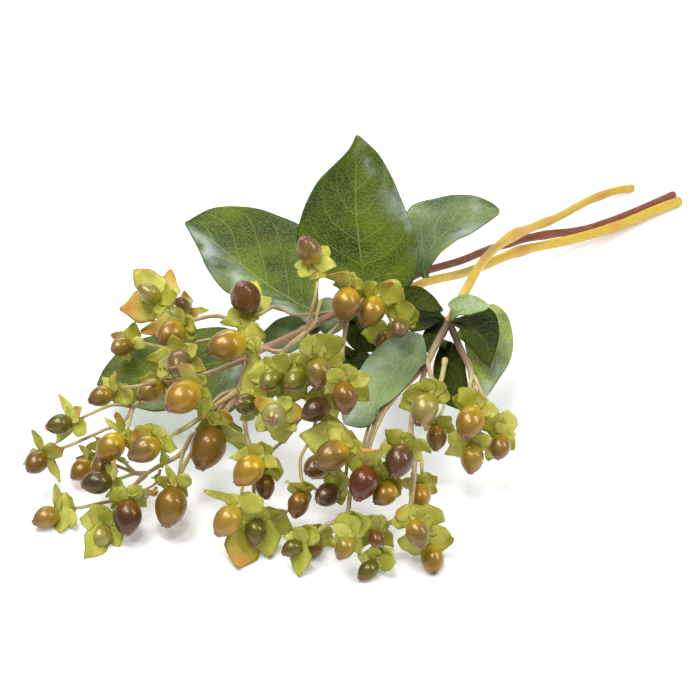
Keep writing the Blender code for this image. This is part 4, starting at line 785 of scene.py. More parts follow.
def berry_finish():
    """Glossy, pearly skin: bright at the calyx, greyer towards a dry puckered tip."""
    looks = bpy.context.scene.berry_looks
    finish = Finish("berry_skin")
    place = finish.place()
    along = finish.number("along")
    spread = along + finish.wander(place, 260.0, 0.34, 3.0)
    skin = finish.mix(finish.rise(spread, *SHOULDER), finish.colour("calyx_colour"),
                      finish.colour("body_colour"))
    skin = finish.mix(finish.rise(spread, *GREYING) * 0.5, skin, looks.tip)
    specks = finish.rise(finish.noise(place, 2600.0), 0.60, 0.72) * 0.16
    skin = finish.mix(specks, skin, SPECK_COLOUR)
    crusty = finish.rise(along, *DRY_END)
    flakes = finish.rise(finish.noise(place, 1900.0), 0.44, 0.60)
    skin = finish.mix(crusty, skin, finish.mix(flakes, CRUST_SHADOW, looks.crust))
    return finish.set(
        Base_Color=skin,
        Roughness=looks.roughness + finish.noise(place, 340.0) * 0.10 + crusty * 0.3,
        Metallic=0.30,
        Specular_IOR_Level=0.32,
        Coat_Weight=0.45 - crusty * 0.40,
        Coat_Roughness=0.12,
        Normal=finish.bump(finish.noise(place, 900.0) + flakes * crusty * 3.0, 0.22, 0.0004),
    )


# A sepal's paler foot, its veins and its edge.
SEPAL_FOOT = (0.50, 0.52, 0.12)
SEPAL_VEIN = (0.56, 0.58, 0.16)
SEPAL_EDGE = (0.165, 0.150, 0.012)
SEPAL_VEINS = 56.0


def sepal_finish():
    """Thin yellow-green blades with fine veins, dry edges and here and there an orange end."""
    looks = bpy.context.scene.sepal_looks
    finish = Finish("sepal_blade")
    place = finish.place()
    across, along = finish.blade()
    beside = abs(across * 2.0 - 1.0)
    tone = finish.number("tone") * 0.65 + (finish.noise(place, 220.0, 3.0) - 0.35) * 0.9
    skin = finish.mix(finish.rise(tone, 0.05, 0.95), looks.green, looks.pale)
    skin = finish.mix((1.0 - finish.rise(along, 0.0, 0.35)) * 0.45, skin, SEPAL_FOOT)
    veins = finish.maths("SINE", across * SEPAL_VEINS + finish.noise(place, 300.0) * 3.0)
    veins = finish.rise(veins, 0.55, 1.0) * (1.0 - finish.rise(along, 0.75, 1.0))
    skin = finish.mix(veins * 0.30, skin, SEPAL_VEIN)
    ends = finish.rise(along + finish.wander(place, 420.0, 0.5), 0.35, 0.95)
    skin = finish.mix(ends * finish.number("blush"), skin, finish.colour("blush_colour"))
    edge = finish.maths("MAXIMUM", finish.rise(beside, 0.86, 0.98), finish.rise(along, 0.94, 0.995))
    dry = finish.rise(finish.noise(place, 260.0), 0.42, 0.60) * finish.number("dryness")
    skin = finish.mix(edge * 0.5, skin, SEPAL_EDGE)
    skin = finish.mix(edge * dry, skin, looks.rim)
    return finish.set(
        Base_Color=skin,
        Roughness=0.42 + finish.noise(place, 400.0) * 0.2,
        Specular_IOR_Level=0.35,
        Normal=finish.bump(veins + finish.noise(place, 700.0, 3.0) * 1.2, 0.30, 0.0005),
    )


# How the veins of a leaf run: how many leave the midrib on each side, and how steeply they rise.
VEIN_COUNT = 6.5
VEIN_RISE = 0.42
VEIN_BEND = 1.25
# How wide the side veins and the midrib are, where side veins fade, and how fine the net between them is.
SIDE_VEIN = (0.006, 0.036)
MIDRIB = (0.012, 0.040)
VEIN_FADE = (0.72, 0.96)
NET_SCALE = 540.0
NET_LINE = (0.02, 0.16)
# Painted sheen: a whitish colour mixed into the leaves where reflections of the lights are painted in.
PAINTED_SHEEN_COLOUR = (0.46, 0.56, 0.53)


def leaf_finish(name, upper_pair, under, vein, roughness, specular):
    """A leaf's blade: green and glossy above, grey-green below, with arching veins, a fine net and patches
    of painted sheen.
    """
    finish = Finish(name)
    place = finish.place()
    across, along = finish.blade()
    beside = abs(across * 2.0 - 1.0)
    steps = (along - (beside ** VEIN_BEND) * VEIN_RISE + finish.wander(place, 60.0, 0.05)) * VEIN_COUNT
    nearest = abs(finish.maths("FRACT", steps + 0.5) - 0.5)
    side_veins = (1.0 - finish.rise(nearest, *SIDE_VEIN)) * (1.0 - finish.rise(beside, *VEIN_FADE))
    rib = 1.0 - finish.rise(beside, *MIDRIB)
    net = finish.add("ShaderNodeTexVoronoi", {"feature": "DISTANCE_TO_EDGE"},
                     {"Vector": place, "Scale": NET_SCALE})["Distance"]
    lines = finish.maths("MAXIMUM", finish.maths("MAXIMUM", side_veins, rib),
                         (1.0 - finish.rise(net, *NET_LINE)) * 0.42)
    patches = finish.rise(finish.noise(place, 48.0, 4.0), 0.32, 0.70)
    above = finish.mix(lines * 0.62, finish.mix(patches, *upper_pair), vein)
    below = finish.mix(patches, shaded(under, 0.72), shaded(under, 1.3))
    below = finish.mix(lines * 0.5, below, tuple(part * 0.6 + 0.26 for part in under))
    topside = finish.number("topside")
    # Painted sheen: whitish patches that stand in for reflections, broken up by noise.
    sheen = finish.number("sheen") * finish.rise(finish.noise(place, 90.0, 3.0), 0.30, 0.62)
    skin = finish.mix(sheen * 0.75, finish.mix(topside, below, above), PAINTED_SHEEN_COLOUR)
    skin = finish.mix(finish.rise(beside, 0.965, 1.0) * 0.55, skin, shaded(upper_pair[0], 0.6))
    gloss = finish.rise(finish.noise(place, 22.0), 0.50, 0.66)
    height = (finish.noise(place, 300.0, 3.0) * 0.5 - lines) * (topside * 1.6 - 0.8)
    return finish.set(
        Base_Color=skin,
        Roughness=roughness + (1.0 - topside) * 0.16 + finish.noise(place, 120.0) * 0.14,
        Specular_IOR_Level=specular,
        Coat_Weight=gloss * (topside * 1.6 + 0.3) * specular,
        Coat_Roughness=0.20,
        Normal=finish.bump(height, 0.45, 0.0006),
    )


LIGHT_LEAF = ((0.105, 0.190, 0.022), (0.43, 0.52, 0.25))
OUTER_LEAF = (0.27, 0.36, 0.030)
PALE_VEIN = (0.50, 0.56, 0.22)


def leaf_finishes():
    """The finishes of the leaves, by slot, and one leaf's own by its name; the dark slot is the green
    darkened with painted shade.
    """
    looks = bpy.context.scene.leaf_looks
    deep, fresh, under, vein = looks.deep, looks.fresh, looks.under, looks.vein
    # Painted shade: leaves that lie behind or under others get the green darkened into a shaded copy.
    dark = (shaded(deep, 0.28), shaded(fresh, 0.34))
    return {
        "leaf_green": leaf_finish("leaf_green", (deep, fresh), under, vein, 0.30, 0.20),
        "leaf_dark": leaf_finish("leaf_dark", dark, deep, shaded(vein, 0.55), 0.42, 0.07),
        "leaf_back": leaf_finish("leaf_back", (deep, fresh), under, vein, 0.34, 0.30),
        "leaf_light": leaf_finish("leaf_light", LIGHT_LEAF, under, PALE_VEIN, 0.34, 0.30),
        "leaf_right_outer": leaf_finish("leaf_outer", (fresh, OUTER_LEAF), under, PALE_VEIN, 0.34, 0.25),
    }


# The stretch from a stem's cut over which its colour turns to that of the branches.
OLD_STRETCH = (0.235, 0.300)
# How far from its cut end a stem has the colour of the cut.
CUT_STRETCH = (0.0006, 0.0016)


def bark_streaks(finish, wide, fine, scale, detail):
    """Noise that is drawn out along a stem, and the place it was read at."""
    rim_x, rim_y, _ = finish.parts(finish.colour("rim"))
    along = finish.vector(rim_x * wide, rim_y * wide, finish.number("run") * fine)
    return finish.noise(along, scale, detail), along


def bark_finish(name, main, tinge, end, old, streak_strength):
    """Bark with streaks that run along it, tinged at its knots, and a pale cut."""
    finish = Finish(name)
    place = finish.place()
    run = finish.number("run")
    streaks, _ = bark_streaks(finish, 0.6, 34.0, 5.0, 4.0)
    patches = finish.noise(place, 70.0, 3.0)
    skin = finish.mix(finish.rise(streaks, 0.35, 0.68) * streak_strength, main, shaded(main, 0.55))
    skin = finish.mix(finish.rise(patches, 0.5, 0.72) * 0.6, skin, tinge)
    skin = finish.mix(finish.number("tint") * 0.85, skin, tinge)
    skin = finish.mix(finish.rise(run, *OLD_STRETCH) * 0.9, skin, old)
    specks = finish.rise(finish.noise(place, 1500.0), 0.62, 0.70)
    skin = finish.mix(specks * 0.5, skin, shaded(main, 0.35))
    skin = finish.mix(1.0 - finish.rise(run, *CUT_STRETCH), skin, end)
    return finish.set(
        Base_Color=skin,
        Roughness=0.36 + streaks * 0.22,
        Specular_IOR_Level=0.45,
        Coat_Weight=0.08,
        Coat_Roughness=0.3,
        Normal=finish.bump(streaks + finish.noise(place, 900.0, 3.0) * 0.6, 0.40, 0.0006),
    )


# A twig's pale streaks and dark ones, and the dark brown of the painted shade on branches that lie in
# shadow.
TWIG_STREAK = (0.62, 0.53, 0.34)
TWIG_SHADOW = (0.20, 0.10, 0.06)
TWIG_PAINTED_SHADE = (0.050, 0.028, 0.012)


@functools.cache
def twig_finish():
    """Twigs: tan with pale streaks where they leave the branch, yellow-green at the berries, and painted
    shade on the upper parts of some branches.
    """
    looks = bpy.context.scene.stem_looks
    finish = Finish("twig")
    streaks, along = bark_streaks(finish, 0.7, 40.0, 4.0, 3.0)
    tint = finish.rise(finish.number("tint") + finish.wander(finish.place(), 120.0, 0.6), 0.15, 0.85)
    skin = finish.mix(tint, looks.tan, looks.young)
    skin = finish.mix(finish.rise(streaks, 0.42, 0.70) * 0.65, skin, TWIG_STREAK)
    skin = finish.mix(finish.rise(finish.noise(along, 9.0), 0.56, 0.72) * 0.55, skin, TWIG_SHADOW)
    # Painted shade: the dark value darkens the shaded upper parts of some branches.
    skin = finish.mix(finish.number("dark") * 0.92, skin, TWIG_PAINTED_SHADE)
    return finish.set(
        Base_Color=skin,
        Roughness=0.44 + streaks * 0.2,
        Specular_IOR_Level=0.4,
        Normal=finish.bump(streaks, 0.4, 0.0005),
    )


# The floor glows a little, cool white, so that it stays as pale as its surround.
FLOOR_GLOW = (0.90, 0.93, 1.0, 1.0)
FLOOR_GLOW_STRENGTH = 0.19


def floor_finish():
    """Plain, matt and pale."""
    return Finish("floor").set(
        Base_Color=(*bpy.context.scene.stage_looks.floor, 1.0),
        Roughness=0.9,
        Specular_IOR_Level=0.1,
        Emission_Color=FLOOR_GLOW,
        Emission_Strength=FLOOR_GLOW_STRENGTH,
    )


def new_tree(name, inputs):
    """A geometry tree with named inputs; gives its nodes and the inputs."""
    tree = bpy.data.node_groups.new(name, "GeometryNodeTree")
    tree.interface.new_socket("Geometry", in_out="INPUT", socket_type="NodeSocketGeometry")
    for label, kind in inputs:
        tree.interface.new_socket(label, in_out="INPUT", socket_type="NodeSocket" + kind)
    tree.interface.new_socket("Geometry", in_out="OUTPUT", socket_type="NodeSocketGeometry")
    nodes = Nodes(tree)
    return nodes, nodes.add("NodeGroupInput")


def end_tree(nodes, geometry, given):
    """Makes the result real, smooth and dressed."""
    smooth = nodes.pass_on("SetShadeSmooth", nodes.pass_on("RealizeInstances", geometry))
    dressed = nodes.pass_on("SetMaterial", smooth, Material=given["Material"])
    nodes.add("NodeGroupOutput", {}, {"Geometry": dressed})
    return nodes.tree


def named(nodes, name, kind="FLOAT"):
    """A value that the guide's points carry."""
    return nodes.add("GeometryNodeInputNamedAttribute", {"data_type": kind}, {"Name": name})["Attribute"]


def keep(nodes, geometry, name, value, kind="FLOAT"):
    """Writes a value on the geometry's points."""
    settings = {"data_type": kind, "domain": "POINT"}
    return nodes.pass_on("StoreNamedAttribute", geometry, settings, Name=name, Value=value)


def swollen(nodes, geometry, scale, height, seed):
    """Lets the skin swell and dip along its normals."""
    place = nodes.add("GeometryNodeInputPosition")["Position"]
    lumps = nodes.add(
        "ShaderNodeTexNoise", {"noise_dimensions": "4D"},
        {"Vector": place, "W": seed, "Scale": scale, "Detail": 2.0},
    )["Fac"]
    normal = nodes.add("GeometryNodeInputNormal")["Normal"]
    offset = nodes.add("ShaderNodeVectorMath", {"operation": "SCALE"},
                       {0: normal, "Scale": (lumps - 0.5) * height})["Vector"]
    return nodes.pass_on("SetPosition", geometry, Offset=offset)


# How full a berry is along its length, beside a plain ball: slim at its shoulder, drawn in before its tip.
BERRY_FULLNESS = (
    (0.0, 0.82), (0.10, 0.94), (0.30, 1.02), (0.50, 0.975), (0.72, 0.89), (0.86, 0.78), (0.94, 0.65),
    (0.960, 0.62), (0.975, 0.92), (1.0, 1.0),
)
# The tip's lobes, where along the berry they rise and where its end is dimpled, and how deep.
TIP_LOBES = 5
LOBED = (0.95, 0.975)
DIMPLED = (0.975, 1.0)
DIMPLE_DEPTH = 0.035
LUMP_SCALE = 170.0


@functools.cache
def berry_tree():
    """An egg-shaped berry with a puckered, lobed tip on each point, in the point's direction and size."""
    nodes, given = new_tree("Berries", [
        ("Sides", "Int"), ("Rings", "Int"), ("Lumps", "Float"), ("Lobe Depth", "Float"), ("Seed", "Float"),
        ("Material", "Material"),
    ])
    ball = nodes.add("GeometryNodeMeshUVSphere", {},
                     {"Segments": given["Sides"], "Rings": given["Rings"], "Radius": 1.0})["Mesh"]
    x, y, z = nodes.parts(nodes.add("GeometryNodeInputPosition")["Position"])
    along = z * 0.5 + 0.5
    fullness = nodes.add("ShaderNodeFloatCurve", {"curve": BERRY_FULLNESS}, {"Value": along})["Value"]
    angle = nodes.maths("ARCTAN2", y, x)
    lobes = nodes.maths("COSINE", angle * TIP_LOBES) * nodes.rise(along, *LOBED) * given["Lobe Depth"]
    wide = fullness * (lobes + 1.0) * 0.5
    dimple = nodes.rise(along, *DIMPLED) * DIMPLE_DEPTH
    spot = nodes.vector(x * wide, y * wide, along - dimple)
    egg = nodes.pass_on("SetPosition", keep(nodes, ball, "along", along), Position=spot)
    turn = nodes.add("FunctionNodeEulerToRotation", {}, {"Euler": named(nodes, "aim", "FLOAT_VECTOR")})
    berries = nodes.add("GeometryNodeInstanceOnPoints", {}, {
        "Points": given["Geometry"], "Instance": egg, "Rotation": turn["Rotation"],
        "Scale": named(nodes, "size", "FLOAT_VECTOR"),
    })["Instances"]
    real = nodes.pass_on("RealizeInstances", berries)
    return end_tree(nodes, swollen(nodes, real, LUMP_SCALE, given["Lumps"], given["Seed"]), given)


@functools.cache
def tube_tree():
    """A round stem along each chain of the guide's edges, as thick as its points say."""
    nodes, given = new_tree("Tubes", [
        ("Sides", "Int"), ("Bumps", "Float"), ("Bump Scale", "Float"), ("Seed", "Float"),
        ("Material", "Material"),
    ])
    path = nodes.add("GeometryNodeMeshToCurve", {}, {"Mesh": given["Geometry"]})["Curve"]
    ring = nodes.add("GeometryNodeCurvePrimitiveCircle", {}, {"Resolution": given["Sides"], "Radius": 1.0})
    place = nodes.add("GeometryNodeInputPosition")["Position"]
    ring = keep(nodes, ring["Curve"], "rim", place, "FLOAT_VECTOR")
    tube = nodes.add("GeometryNodeCurveToMesh", {}, {
        "Curve": path, "Profile Curve": ring, "Scale": named(nodes, "thick"), "Fill Caps": True,
    })["Mesh"]
    bumpy = swollen(nodes, tube, given["Bump Scale"], given["Bumps"], given["Seed"])
    return end_tree(nodes, bumpy, given)


def carry(mesh, name, kind, values):
    """Writes values on the mesh's points."""
    field = {"FLOAT": "value", "FLOAT_VECTOR": "vector", "FLOAT_COLOR": "color"}[kind]
    attribute = mesh.attributes.new(name, kind, "POINT")
    attribute.data.foreach_set(field, np.asarray(values, np.float32).ravel())


def into_scene(name, mesh):
    """A new object at the origin."""
    obj = bpy.data.objects.new(name, mesh)
    bpy.context.scene.collection.objects.link(obj)
    return obj


def grow(name, guide, tree, **inputs):
    """Runs a geometry tree on a guide mesh and keeps the result as a plain mesh."""
    obj = into_scene(name, guide)
    modifier = obj.modifiers.new("grow", "NODES")
    modifier.node_group = tree
    sockets = {item.name: item.identifier for item in tree.interface.items_tree if item.in_out == "INPUT"}
    for label, value in inputs.items():
        modifier[sockets[label.replace("_", " ")]] = value
    graph = bpy.context.evaluated_depsgraph_get()
    mesh = bpy.data.meshes.new_from_object(
        obj.evaluated_get(graph), preserve_all_data_layers=True, depsgraph=graph
    )
    obj.modifiers.remove(modifier)
    obj.data = mesh
    mesh.name = name
    bpy.data.meshes.remove(guide)
    if not mesh.polygons:
        raise RuntimeError(f"{name} has no faces")
    return obj


def seat(obj, slot, *nodes):
    """Ties a piece to the frame."""
    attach(obj, BODY)
    if nodes:
        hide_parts(*nodes)


Tube = namedtuple("Tube", "path radii tints darks", defaults=((),))


def chain_guide(name, tubes):
    """A guide mesh of edges, one chain for each tube."""
    points, edges = [], []
    carried = {"thick": [], "tint": [], "dark": [], "run": []}
    for tube in tubes:
        first = len(points)
        points += tube.path
        edges += [(first + i, first + i + 1) for i in range(len(tube.path) - 1)]
        carried["thick"] += tube.radii
        carried["tint"] += tube.tints
        # The dark value is painted shade.
        carried["dark"] += tube.darks or [0.0] * len(tube.path)
        carried["run"] += runs_along(tube.path)
    guide = bpy.data.meshes.new(name)
    guide.from_pydata(points, edges, [])
    for label, values in carried.items():
        carry(guide, label, "FLOAT", values)
    return guide


END_ROUNDING = ((0.35, 0.93), (0.70, 0.72), (0.95, 0.32))
CAP_ANGLE = math.radians(50)


def rounded_end(path, radii):
    """The path with a dome past its far end."""
    ahead = (path[-1] - path[-2]).normalized() * radii[-1]
    return (
        path + [path[-1] + ahead * far for far, _ in END_ROUNDING],
        radii + [radii[-1] * wide for _, wide in END_ROUNDING],
    )


def make_tubes(name, tubes, material, sides, bumps, bump_scale, seed):
    """One piece of all these tubes."""
    obj = grow(name, chain_guide(name, tubes), tube_tree(), Sides=sides, Bumps=bumps,
               Bump_Scale=bump_scale, Seed=float(seed), Material=material)
    obj.data.set_sharp_from_angle(angle=CAP_ANGLE)
    return obj


def knot_share(stem, place):
    """How far a stem swells at a place on it, and how much of a knot's tinge it has there."""
    swelling, tinge = 0.0, 0.0
    for knot in itertools.starmap(Knot, stem.knots):
        line = sight_line(knot.across, knot.down)
        off = place - SIGHT_POINT
        beside = (off - line * off.dot(line)).length
        share = math.exp(-(beside / (knot.length * MM)) ** 2)
        swelling += knot.rise * MM * share
        tinge = max(tinge, share)
    return swelling, tinge


def stem_tube(stem):
    """A stem or branch from end to end, swollen at its knots."""
    path = even_path([place_of(item) for item in stem.route], TUBE_SPACING)
    shares = [knot_share(stem, place) for place in path]
    radii = [radius + swelling for radius, (swelling, _) in zip(radii_along(stem, len(path)), shares)]
    tints = [tinge for _, tinge in shares] + [0.0] * len(END_ROUNDING)
    return Tube(*rounded_end(path, radii), tints)


# The red-brown stem's tinge and cut, and what it turns to; and the yellow stems' cut.
RED_TINGE = (0.30, 0.100, 0.045)
RED_CUT = (0.30, 0.14, 0.07)
RED_OLD = (0.34, 0.20, 0.110)
YELLOW_CUT = (0.40, 0.27, 0.10)
# How strongly each bark is streaked.
RED_STREAKS = 0.7
YELLOW_STREAKS = 0.35
# How fine the bumps of stems, branches and twigs are.
STEM_BUMP_SCALE = 130.0
BRANCH_BUMP_SCALE = 260.0
TWIG_BUMP_SCALE = 420.0
TWIG_BUMP_SHARE = 0.6


class BERRYSTEM_OT_stems(Operator):
    """Make the three cut stems"""

    bl_idname = "berrystem.stems"
    bl_label = "Stems"

    def execute(self, context):
        looks = context.scene.stem_looks
        finishes = {
            "red_bark": bark_finish("red_bark", looks.red, RED_TINGE, RED_CUT, RED_OLD, RED_STREAKS),
            "yellow_bark": bark_finish("yellow_bark", looks.yellow, looks.orange, YELLOW_CUT, looks.tan,
                                       YELLOW_STREAKS),
        }
        for number, stem in enumerate(STEMS):
            obj = make_tubes(stem.name + "_bark", [stem_tube(stem)], finishes[stem.finish], STEM_SIDES,
                             looks.bumps, STEM_BUMP_SCALE, number)
            seat(obj, stem.finish, stem.name)
        return {"FINISHED"}


# How much thicker a twig is at its joint and at its berry, and how soon it thins.
JOINT_FLARE = 0.35
FLARE_LENGTH = 0.004
NECK_FLARE = 0.75
NECK_FLARE_LENGTH = 0.0022
# How green twigs are: a pedicel turns green over this length before its berry.
GREENING_LENGTH = 0.034
GREENING = 0.75
STALK_TINT = 0.35
SIDE_TWIG_TINT = 0.45
BRANCH_TINT = 0.12
BRANCH_GREENING = 0.35


def flared(path, radius, ends_at_berry=False):
    """Radii of a twig that thickens at its joint, and at its berry if it ends there."""
    runs = runs_along(path)
    radii = []
    for run in runs:
        flare = 1 + JOINT_FLARE * math.exp(-(run / FLARE_LENGTH) ** 2)
        if ends_at_berry:
            flare += NECK_FLARE * math.exp(-((runs[-1] - run) / NECK_FLARE_LENGTH) ** 2)
        radii.append(radius * flare)
    return radii


def plain_twig(points, radius, tint):
    """A twig of one tint with a rounded end."""
    path = even_path(points, TUBE_SPACING)
    path, radii = rounded_end(path, flared(path, radius))
    return Tube(path, radii, [tint] * len(path))


# How much painted shade darkens some branches where they leave the stem; it fades along each branch.
BRANCH_PAINTED_SHADE = {"branch_right_front": 1.0, "branch_right": 1.6}
# Thin twigs beside the branches: the branch that each is made with, its radius and its places.
SIDE_TWIGS = [
    ("branch_left_back", 0.7, [(321, 300, 88), (317, 314, 82), (313, 326, 76), (288, 348, 62.5),
     (270, 350, 56)]),
    ("branch_centre", 0.6, [(345, 318, 60), (338, 324, 66), (325, 340.5, 72), (319, 351, 77)]),
    ("branch_centre", 0.6, [(344, 324, 60), (331, 331, 67), (321, 344, 73)]),
    ("branch_left_front", 0.6, [(160, 470, 22), (155, 484, 19), (131.5, 495.5, 15.5)]),
    ("branch_left_front", 0.6, [(157, 487, 19), (145, 499, 15.5)]),
    ("branch_left_front", 1.2, [(236, 392, 45.8), (222, 401, 45.5), (205, 414, 45.5), (190, 425, 44.8),
     (176, 433, 44.2)]),
    ("branch_left_front", 1.1, [(226, 399, 43), (214, 419, 38), (200, 440, 33), (189, 457, 29),
     (181, 472, 25)]),
    ("branch_centre", 0.7, [(306.5, 499, 18), (292, 508, 15), (277, 519, 13)]),
    ("branch_centre_low", 0.9, [(412, 376, 47), (402, 390, 46), (386, 410, 45), (375, 432, 43),
     (368, 453, 41)]),
    ("branch_centre_low", 0.8, [(404, 384, 43), (392, 392, 42), (376, 411, 41), (367, 432, 39),
     (362, 454, 38)]),
    ("branch_right_front", 1.2, [(445, 360, 52), (443, 372, 53), (441, 381, 53)]),
    ("branch_right", 0.9, [(472, 378, 47), (470, 386, 47), (470, 395, 46)]),
    ("branch_right", 0.9, [(475, 378, 47), (479, 387, 47), (484, 398, 46)]),
]


class BERRYSTEM_OT_branches(Operator):
    """Make the branches that leave the stems"""

    bl_idname = "berrystem.branches"
    bl_label = "Branches"

    def execute(self, context):
        for number, branch in enumerate(BRANCHES):
            tube = stem_tube(branch)
            shares = [i / len(tube.path) for i in range(len(tube.path))]
            # Painted shade for this branch, fading towards its far end.
            dark = BRANCH_PAINTED_SHADE.get(branch.name, 0)
            tube = tube._replace(tints=[BRANCH_TINT + BRANCH_GREENING * share for share in shares],
                                 darks=[dark * (1 - share) for share in shares])
            twigs = [
                plain_twig([seen_at(*place) for place in route], radius * MM, SIDE_TWIG_TINT)
                for owner, radius, route in SIDE_TWIGS if owner == branch.name
            ]
            obj = make_tubes(branch.name + "_bark", [tube, *twigs], twig_finish(), TWIG_SIDES * 2,
                             context.scene.stem_looks.bumps, BRANCH_BUMP_SCALE, number)
            seat(obj, branch.finish, branch.name)
        return {"FINISHED"}


class BERRYSTEM_OT_twigs(Operator):
    """Make each cluster's stalk and pedicels"""

    bl_idname = "berrystem.twigs"
    bl_label = "Twigs"

    def execute(self, context):
        bumps = context.scene.stem_looks.bumps * TWIG_BUMP_SHARE
        for number, (name, stalk, fruits) in enumerate(grown_cymes()):
            tubes = [plain_twig(stalk, STALK_RADIUS, STALK_TINT)] if len(stalk) > 1 else []
            for fruit in fruits:
                neck = fruit.base - fruit.axis * NECK_LENGTH
                path = even_path([stalk[-1], *fruit.twig, neck, fruit.base], TUBE_SPACING)
                runs = runs_along(path)
                tints = [1 - GREENING * min(1.0, (runs[-1] - run) / GREENING_LENGTH) for run in runs]
                tubes.append(Tube(path, flared(path, PEDICEL_RADIUS, True), tints))
            obj = make_tubes(name + "_twigs", tubes, twig_finish(), TWIG_SIDES, bumps, TWIG_BUMP_SCALE,
                             number)
            seat(obj, "twig", name)
        return {"FINISHED"}


class BERRYSTEM_OT_berries(Operator):
    """Make the berries of every cluster"""

    bl_idname = "berrystem.berries"
    bl_label = "Berries"
    SEED = 11

    def execute(self, context):
        looks = context.scene.berry_looks
        material = berry_finish()
        draw = random.Random(self.SEED)
        up = Vector((0, 0, 1))
        for number, (name, _, fruits) in enumerate(grown_cymes()):
            guide = bpy.data.meshes.new(name)
            guide.from_pydata([fruit.base for fruit in fruits], [], [])
            aims = [
                (up.rotation_difference(fruit.axis) @ Quaternion(up, draw.uniform(0, math.tau))).to_euler()
                for fruit in fruits
            ]
            carry(guide, "aim", "FLOAT_VECTOR", aims)
            carry(guide, "size", "FLOAT_VECTOR", [(f.width, f.width, f.length) for f in fruits])
            for part, label in enumerate(("calyx_colour", "body_colour")):
                carry(guide, label, "FLOAT_COLOR", [(*BERRY_LOOKS[f.look][part], 1.0) for f in fruits])
            obj = grow(name + "_berries", guide, berry_tree(), Sides=looks.sides, Rings=looks.rings,
                       Lumps=looks.lumps, Lobe_Depth=looks.lobes, Seed=float(number), Material=material)
            seat(obj, "berry", name)
        return {"FINISHED"}


def facing_of(spots):
    """Which way a grid of spots faces at each of them."""
    facing = np.cross(np.gradient(spots, axis=0), np.gradient(spots, axis=1))
    return facing / np.maximum(np.linalg.norm(facing, axis=2, keepdims=True), TINY)


def closed_blade(spots, half):
    """A thin closed skin round a grid of spots: its points and faces."""
    rows, columns = spots.shape[:2]
    lift = facing_of(spots) * half
    points = np.concatenate([(spots + lift).reshape(-1, 3), (spots - lift).reshape(-1, 3)])
    top = np.arange(rows * columns).reshape(rows, columns)
    under = top + rows * columns
    faces = []
    for i in range(rows - 1):
        for j in range(columns - 1):
            faces.append((top[i, j], top[i + 1, j], top[i + 1, j + 1], top[i, j + 1]))
            faces.append((under[i, j], under[i, j + 1], under[i + 1, j + 1], under[i + 1, j]))
        faces.append((top[i, 0], under[i, 0], under[i + 1, 0], top[i + 1, 0]))
        faces.append((top[i, -1], top[i + 1, -1], under[i + 1, -1], under[i, -1]))
    for j in range(columns - 1):
        faces.append((top[0, j], top[0, j + 1], under[0, j + 1], under[0, j]))
        faces.append((top[-1, j], under[-1, j], under[-1, j + 1], top[-1, j + 1]))
    return points, faces


class BladeMesh:
    """Gathers closed blades and makes one mesh of them."""

    def __init__(self):
        self.points = []
        self.faces = []
        self.places = []
        self.carried = {}
        self.count = 0

    def add(self, spots, half, across, along, **carried):
        """One blade; across and along are its columns' and rows' places from 0 to 1."""
        points, faces = closed_blade(spots, half)
        self.points.append(points)
        self.faces += [tuple(int(i) + self.count for i in face) for face in faces]
        grid = np.stack(np.broadcast_arrays(across[None, :], along[:, None]), axis=2).reshape(-1, 2)
        self.places.append(np.concatenate([grid, grid]))
        for label, value in carried.items():
            value = np.asarray(value, float)
            whole = value if value.shape[:1] == (len(points),) else np.broadcast_to(
                value, (len(points), *value.shape))
            self.carried.setdefault(label, []).append(whole)
        self.count += len(points)

    def finish(self, name, material):
        """The object, with its blade coordinates and what its points carry."""
        mesh = bpy.data.meshes.new(name)
        mesh.from_pydata(np.concatenate(self.points).tolist(), [], self.faces)
        mesh.shade_smooth()
        corner = np.zeros(len(mesh.loops), np.int32)
        mesh.loops.foreach_get("vertex_index", corner)
        layer = mesh.uv_layers.new(name="Blade")
        layer.data.foreach_set("uv", np.concatenate(self.places)[corner].astype(np.float32).ravel())
        for label, values in self.carried.items():
            whole = np.concatenate(values)
            carry(mesh, label, "FLOAT" if whole.ndim == 1 else "FLOAT_COLOR", whole)
        mesh.materials.append(material)
        return into_scene(name, mesh)


SEPAL_ROWS = 11
SEPAL_COLUMNS = 7
SEPALS_EACH = 5
# Half outlines: how wide a sepal is at shares of its length, as a share of its widest; and how wide that
# is beside its length.
SEPAL_OUTLINES = {
    "broad": ((0.58, 0.74, 0.90, 1.0, 0.97, 0.82, 0.52, 0.08), 0.80),
    "pointed": ((0.50, 0.72, 0.94, 1.0, 0.86, 0.60, 0.32, 0.05), 0.70),
    "over": ((0.60, 0.80, 0.95, 1.0, 0.88, 0.66, 0.38, 0.06), 0.46),
    "strap": ((0.60, 0.78, 0.92, 1.0, 0.95, 0.80, 0.55, 0.12), 0.30),
}
# How strongly a sepal's end is coloured, with what, and how dry its edge is.
SEPAL_TINTS = {
    "plain": (0.0, (0.60, 0.27, 0.05), 0.35),
    "blush": (0.85, (0.56, 0.25, 0.04), 0.5),
    "red": (0.95, (0.74, 0.27, 0.12), 0.4),
    "dark": (0.0, (0.60, 0.27, 0.05), 1.3),
}
# What each sepal draws for itself, in this order; belly, curl and wave are shares of its length.
SEPAL_TRAITS = {
    "belly": (0.05, 0.16), "curl": (-0.10, 0.26), "cup": (-0.12, 0.22), "wave": (0.03, 0.09),
    "phase": (0.0, math.tau), "twist": (-0.35, 0.35), "nick": (0.03, 0.10),
}
# What a sepal that isn't given draws: its turn off the middle of the gap, its reach and its lean.
FREE_TURN = (-0.2, 0.2)
FREE_REACH = (0.85, 1.12)
FREE_LEAN = (-0.45, 0.25)
FREE_SHAPES = ("broad", "broad", "pointed")
FREE_TINTS = ("plain", "plain", "blush")
